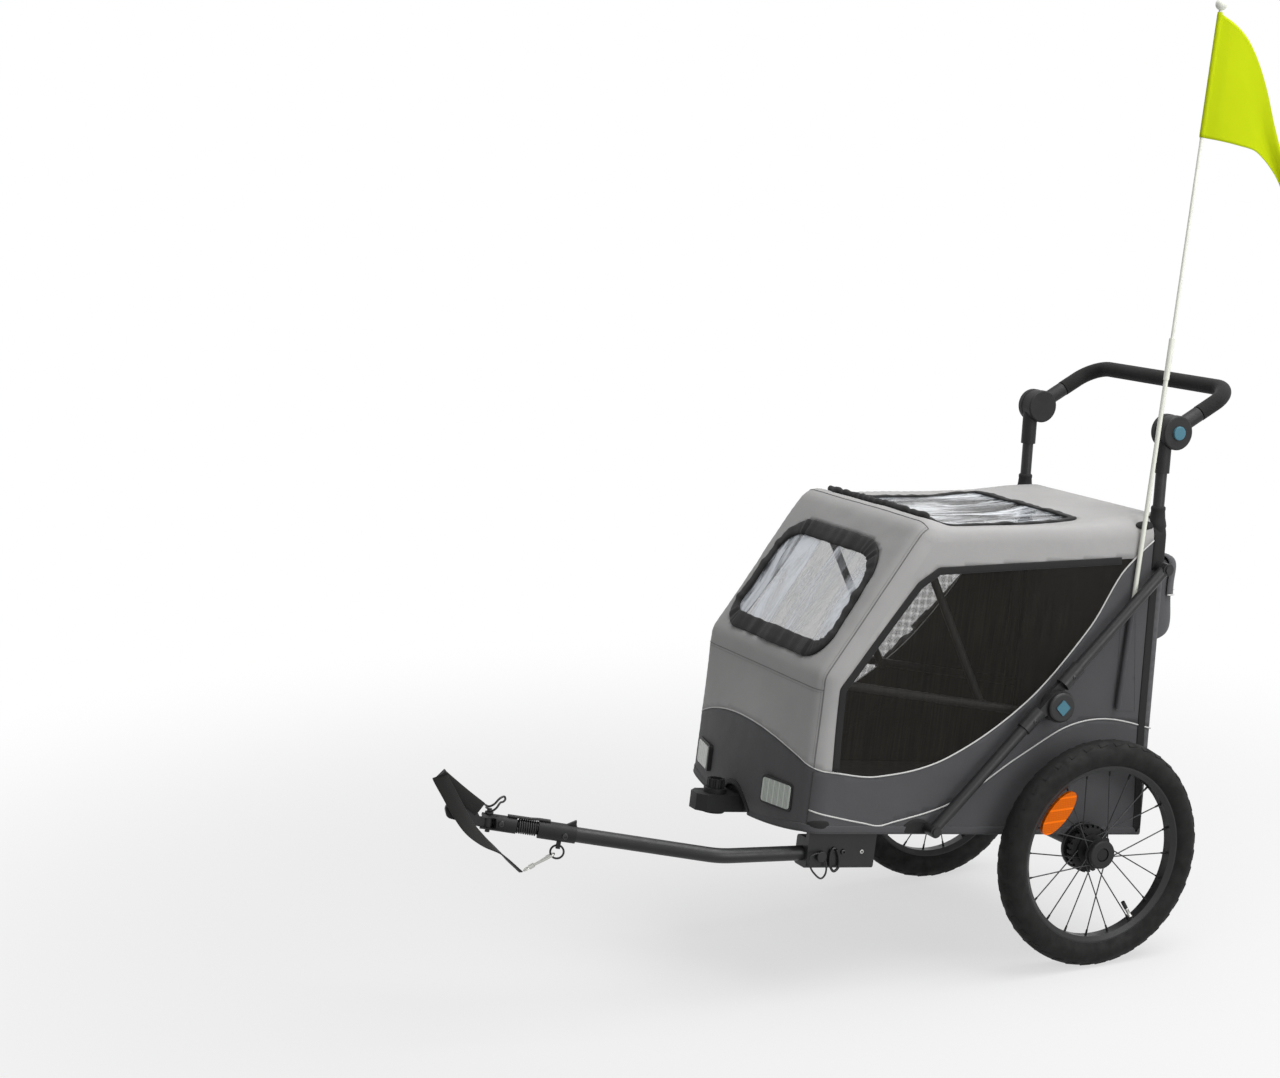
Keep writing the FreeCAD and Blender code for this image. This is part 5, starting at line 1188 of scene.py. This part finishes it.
# Zip pulls at the foot of the rear panel
for hand, name in HANDS:
    top = behind(hand * 184.0, 104.0, POCKET_FACE + 2.0)
    pull = []
    for u in spaced(0, 1, 0.1):
        out = REAR_OUT * (3.0 + 4.0 * math.sin(u * math.pi))
        pull.append((top + Vector((0, 0, -30.0 * u)) + out, REAR_OUT))
    trim("zip_pull_" + name, pull, tape_profile(8.0, 2.6), WEBBING, "rear_frame")

# Hitch: the pieces beyond the drawbar's end
DRAWBAR_KNEE = Vector((180.0, -690.0, -30.0))
DRAWBAR_END = Vector((82.0, -975.0, -12.0))
HITCH_WAY = (DRAWBAR_END - DRAWBAR_KNEE).normalized()
HITCH_SIDE = LEVEL_UP.cross(HITCH_WAY).normalized()
HITCH_UP = HITCH_SIDE.cross(-HITCH_WAY)
SPRING_LENGTH, SPRING_WIRE, SPRING_COIL = 36.0, 1.55, 11.0
SPRING_TURNS, STEPS_A_TURN = 9, 20


def on_hitch(side, ahead, up):
    return DRAWBAR_END + HITCH_SIDE * side + HITCH_WAY * ahead + HITCH_UP * up


def bending(name, stations, profile, finish):
    """A piece along the spring, with its placing baked into its mesh"""
    made = trim(name, stations, profile, finish, None)
    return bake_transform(made)


def spring_line():
    stations, steps = [], SPRING_TURNS * STEPS_A_TURN
    for k in range(steps + 1):
        turn = FULL_TURN * k / STEPS_A_TURN
        out = HITCH_SIDE * math.cos(turn) + HITCH_UP * math.sin(turn)
        stations.append((on_hitch(0, 1.6 + (SPRING_LENGTH - 3.2) * k / steps, 0) + out * SPRING_COIL, out))
    return stations


spring = bending("wound_spring", spring_line(), round_profile(SPRING_WIRE, 10), FRAME_BLACK)
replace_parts(spring, "hitch_spring")
core_line = [(on_hitch(0, ahead, 0), HITCH_UP) for ahead in spaced(0.3, SPRING_LENGTH - 0.3, 3)]
bending("spring_core", core_line, round_profile(9.6, 24), PLASTIC_DARK)
band_line = [(on_hitch(0, ahead, 15.3 - 1.4 * eased(ahead, -2, 16)), HITCH_UP) for ahead in spaced(-18, 52, 3.5)]
bending("spring_band", band_line, tape_profile(13.0, 2.0), WEBBING)
stop = [on_hitch(x, ahead, up) for x in (-4.5, 4.5) for ahead, up in ((-44, 14.0), (-60, 24.0), (-61, 14.0))]
stop_faces = [(0, 1, 2), (5, 4, 3), (0, 3, 4, 1), (1, 4, 5, 2), (2, 5, 3, 0)]
stop_mesh = mesh_of("collar_stop", [PITCHED @ point for point in stop], stop_faces)
wedge = piece("collar_stop", stop_mesh, PLASTIC_BLACK, smooth=False)
edges = wedge.modifiers.new("edges", "BEVEL")
edges.width = 0.0012
edges.segments = 2
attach(plain(wedge), "chassis")
screwed("collar_bolt", [(on_hitch(14.6, -44, -2), HITCH_SIDE)], 5.5, 2.6, DARK_STEEL, "chassis")
screwed("coupler_bolt", [(on_hitch(13.1, 61, 2), HITCH_SIDE)], 5.5, 2.2, DARK_STEEL, "hitch")


# Bent wires and bolts of the two pins and the drawbar bracket
def wire(name, points, radius, across, body):
    stations = [(point, Vector(across)) for point in smooth_line([Vector(point) for point in points])]
    trim(name, stations, round_profile(radius, 10), FRAME_BLACK, body)


PIN_X, PIN_Y = 55.4, -1052.4
BAIL_X, KEEPER_X = 206.5, 204.0
CLIP = [(-15, 0, 12.5), (0, 0, 12.5), (10, 0, 13), (15, 5, 19), (12, 12, 27), (5, 20, 27), (1, 25, 30), (2, 22, 35),
        (5, 13, 32), (5, 5, 23), (0, -1.5, 18), (-13, -3, 17)]
BAIL = [(-512, -21), (-521, -18), (-533, -23), (-534, -34), (-527, -48), (-510, -61), (-501, -53), (-502, -36),
        (-509, -25)]
KEEPER = [(-493, -12), (-495, -24), (-492, -41), (-484, -49.5), (-476, -41), (-478, -24), (-484, -12)]
LEFTWARD = (1, 0, 0)
wire("pin_clip", [(PIN_X + x, PIN_Y + y, z) for x, y, z in CLIP], 1.8, (0.2, 0.3, 0.93), "hitch_pin")
wire("lock_pin_bail", [(BAIL_X, y, z) for y, z in BAIL], 1.6, LEFTWARD, "lock_pin")
wire("bracket_keeper", [(KEEPER_X, y, z) for y, z in KEEPER], 2.3, LEFTWARD, "chassis")
bolts = [((199.8, -469, -17), LEFTWARD), ((199.8, -488, -13), LEFTWARD)]
screwed("bracket_bolts", bolts, 5.0, 3.0, DARK_STEEL, "chassis")
screwed("bracket_eye", [((199.6, -432, -17), LEFTWARD)], 4.0, 0.8, STEEL, "chassis")

# Safety strap: flat webbing, looped back on itself and led down to the snap hook
STRAP_X = 59.2
STRAP_ROUTE = [(0, -1070, 14), (0, -1105, 38), (0, -1143, 66), (3, -1147, 70), (7, -1147, 66), (9, -1131, 42),
               (10, -1112, 14), (11, -1090, -14), (12, -1064, -35), (12, -1036, -52), (12, -1012, -71),
               (13, -992, -87)]
STRAP_ACROSS = [(0, -0.56, -0.83), (0, -0.62, -0.78), (0, -0.69, -0.72), (0, -0.69, -0.72), (0, -0.72, -0.69),
                (0.05, -0.80, -0.60), (0.15, -0.82, -0.55), (0.45, -0.72, -0.53), (0.80, -0.40, -0.45),
                (0.98, -0.05, -0.15), (0.97, 0.10, 0.20), (0.93, 0.20, 0.30)]
strap_points = smooth_line([Vector((STRAP_X + x, y, z)) for x, y, z in STRAP_ROUTE], 7)
strap_across = smooth_line(STRAP_ACROSS, 7)
strap_line = []
for k, point in enumerate(strap_points):
    strap_line.append((point, way_at(strap_points, k).cross(strap_across[k]).normalized()))


def strap_shape(k):
    """Full width at the hitch plate, gathered to the swivel eye at the hook"""
    half = 12.4 - 7.0 * eased(k / (len(strap_points) - 1), 0.72, 0.98)
    outline = [(-half, -0.5), (-half, 0.5), (-half + 1, 1.0), (half - 1, 1.0)]
    return outline + [(-u, -v) for u, v in outline]


strap = trim("webbing_strap", strap_line, strap_shape, WEBBING, None)
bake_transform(strap)
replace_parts(strap, "safety_strap")

# Screws on the strut sleeves, and the tread, spoke nipples and valve stem of each wheel
STRUT_MID, STRUT_WAY = Vector((-121.9, 263.5)), Vector((400.1, 467.0)).normalized()
STRUT_FACE, SLEEVE_REACH = 250.6, 52
TRACK_HALF = 268.0
TREAD_SIZES = {"Count": 40, "Radius": 196.0, "Block": (1.7, 19.0, 8.0), "Finish": TYRE}
TREAD_ASIDE = 12.5
SPOKES, SPOKE_LEAD = 20, 38
FLANGE_R, FLANGES, RIM_R = 24, (247.0, 272.0), 149
VALVE_TURN = math.radians(-52)
VALVE_WAY = Vector((0, math.cos(VALVE_TURN), math.sin(VALVE_TURN)))
VALVE_R = 127.0
VALVE_SLEEVE = [(0, 2.9), (0, 3.4), (3, 3.4), (4, 3.1), (16, 3.1), (17, 4.2), (20, 4.2), (20, 2.9)]
TO_WHEEL = Matrix.Rotation(math.pi / 2, 4, "Y")


def on_circle(x, radius, turn):
    return Vector((x, radius * math.cos(turn), radius * math.sin(turn)))


for hand, name in HANDS:
    wheel, mid = "wheel_" + name, hand * TRACK_HALF
    for part, share in (("upper", SLEEVE_REACH), ("lower", -SLEEVE_REACH)):
        spot = STRUT_MID + STRUT_WAY * share
        head = ((hand * STRUT_FACE, spot.x, spot.y), (hand, 0, 0))
        strut = part + "_" + name
        screwed("sleeve_screw_" + strut, [head], 4.0, 1.6, DARK_STEEL, "strut_" + strut)
    for row in (-1, 1):
        place = PITCHED @ Matrix.Translation((mid + row * TREAD_ASIDE, 0, 0)) @ TO_WHEEL
        blocks = {**TREAD_SIZES, "Lean": (0.24 * row, -0.54 * row, 0)}
        label = "tread_%s_%s" % ("outer" if row * hand > 0 else "inner", name)
        guide = bpy.data.meshes.new("tread_guide")
        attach(grown(label, guide, TREAD, blocks, place), wheel)
    nipples = []
    for count in range(SPOKES):
        turn = FULL_TURN * count / SPOKES
        lead = turn + math.radians(SPOKE_LEAD if count // 2 % 2 else -SPOKE_LEAD)
        tip = on_circle(mid, RIM_R, turn)
        inward = (on_circle(hand * FLANGES[count % 2], FLANGE_R, lead) - tip).normalized()
        nipples.append((tip + inward * 1.5, inward))
    screwed("spoke_nipples_" + name, nipples, 2.1, 10.0, PLASTIC_DARK, wheel)
    stem = Vector((mid, 0, 0)) + VALVE_WAY * VALVE_R
    lathed("valve_sleeve_" + name, stem, VALVE_WAY, VALVE_SLEEVE, STEEL, wheel, 16)

# Finish of the pieces that show as they are; a name with a star stands for the left one and the right one
SHOWN = {
    FRAME_BLACK: "base_frame lock_pin hitch_pin upright_* rear_cross_tubes push_bar strut_upper_* strut_lower_* "
                 "waist_hoop ridge_hoop axle drawbar_tube tow_ring drawbar_bracket hitch_plate rim_*",
    PLASTIC_BLACK: "tilt_sockets tilt_knuckles nose_wheel_socket drawbar_collar coupler reflector_frames hub_*",
    PLASTIC_DARK: "hub_button_*",
    BLUE_GREY: "tilt_button_* fold_button_*",
    STEEL: "axle_pins snap_hook",
    DARK_STEEL: "spokes_*",
    TYRE: "tyre_*",
    FOAM: "foam_grip",
    FLOOR_BOARD: "floor_panel",
    SLEEVE_CLOTH: "flag_sleeve",
    LENS_WHITE: "front_reflectors",
    LENS_RED: "rear_reflectors",
    LENS_ORANGE: "spoke_reflector_*",
    POLE_WHITE: "flag_pole",
}
for finish, names in SHOWN.items():
    for name in names.split():
        for hand, side in HANDS if "*" in name else HANDS[:1]:
            shown = nodes[name.replace("*", side)].data.materials
            shown.clear()
            shown.append(finish)
for name in ("front_reflectors", "reflector_frames"):
    sinks(nodes[name])

# Studio: a pale floor, a white surround and soft light from above
SEEN_DIRECT = ("Is Camera Ray", "Is Glossy Ray", "Is Transmission Ray")
WHITE = (1.0, 1.0, 1.0, 1.0)
FLOOR_HALF = 30.0


def seen_directly(builder):
    rays = builder.step("ShaderNodeLightPath")
    total, *others = (rays.outputs[name] for name in SEEN_DIRECT)
    for other in others:
        total = builder.sums("MAXIMUM", total, other)
    return total


def white_world(strength):
    """A surround that lights softly and is plain white where it is seen"""
    world = bpy.data.worlds.new("studio")
    bpy.context.scene.world = world
    world.use_nodes = True
    builder = Tree(world.node_tree)
    soft, white = (builder.step("ShaderNodeBackground", Color=WHITE, Strength=power) for power in (strength, 1.0))
    surface = builder.tree.nodes["World Output"].inputs["Surface"]
    builder.feed([surface], builder.either(seen_directly(builder), soft, white))


def pale_floor():
    """Paper that takes the shadow near the trailer and fades to white away from it"""
    paper = Finish("floor_paper", (0.6, 0.6, 0.6), 0.9, Specular_IOR_Level=0.0)
    glow = paper.step("ShaderNodeEmission", Color=WHITE)
    reach = paper.step("ShaderNodeVectorMath", {"operation": "LENGTH"})
    paper.feed(reach.inputs, paper.place())
    fade = paper.ranged(reach.outputs["Value"], 0.62, 1.0, 0.7, 2.6, interpolation_type="SMOOTHSTEP")
    share = paper.sums("MULTIPLY", seen_directly(paper), fade)
    paper.feed([paper.tree.nodes["Material Output"].inputs["Surface"]], paper.either(share, paper.shader, glow))
    corners = [(FLOOR_HALF * x, FLOOR_HALF * y, 0) for x, y in ((-1, -1), (1, -1), (1, 1), (-1, 1))]
    piece("floor", mesh_of("floor", corners, [(0, 1, 2, 3)]), paper.material)


def soft_lamp(name, place, aim, size, power):
    lamp = bpy.data.lights.new(name, "AREA")
    lamp.shape = "RECTANGLE"
    lamp.size = lamp.size_y = size
    lamp.energy = power
    made = bpy.data.objects.new(name, lamp)
    bpy.context.scene.collection.objects.link(made)
    made.location = place
    made.rotation_euler = (Vector(aim) - Vector(place)).to_track_quat("-Z", "Y").to_euler()


# Where the photograph was taken from: angles in degrees, places in metres, focal length in picture widths
CAMERA_AZIMUTH, CAMERA_ELEVATION, CAMERA_ROLL = (math.radians(angle) for angle in (65.103, 10.247, 0.067))
CAMERA_ASIDE, CAMERA_ABOVE, CAMERA_AWAY = -0.678113, 0.695751, 4.403302
SENSOR_WIDTH = 36.0
FOCAL_WIDTHS = 2387.8 / 1280


def photograph_camera():
    level = math.cos(CAMERA_ELEVATION)
    back = Vector((math.sin(CAMERA_AZIMUTH) * level, -math.cos(CAMERA_AZIMUTH) * level, math.sin(CAMERA_ELEVATION)))
    right = Vector((math.cos(CAMERA_AZIMUTH), math.sin(CAMERA_AZIMUTH), 0))
    up = back.cross(right)
    cosine, sine = math.cos(CAMERA_ROLL), math.sin(CAMERA_ROLL)
    right, up = right * cosine + up * sine, up * cosine - right * sine
    lens = bpy.data.cameras.new("camera")
    lens.sensor_fit = "HORIZONTAL"
    lens.sensor_width = SENSOR_WIDTH
    lens.lens = SENSOR_WIDTH * FOCAL_WIDTHS
    lens.clip_end = 200
    made = bpy.data.objects.new("camera", lens)
    bpy.context.scene.collection.objects.link(made)
    turn = Matrix((right, up, back)).transposed().to_4x4()
    place = Vector((0, AXLE.y, 0)) + back * CAMERA_AWAY + right * CAMERA_ASIDE + up * CAMERA_ABOVE
    made.matrix_world = Matrix.Translation(place) @ turn
    bpy.context.scene.camera = made


CABIN_MIDDLE = (0, 0.2, 0.5)
white_world(0.37)
pale_floor()
soft_lamp("overhead", (0.7, 1.0, 3.2), CABIN_MIDDLE, 2.6, 108)
soft_lamp("near_side", (3.4, 1.3, 1.5), CABIN_MIDDLE, 2.0, 54)
photograph_camera()
bpy.context.scene.view_settings.view_transform = "Standard"
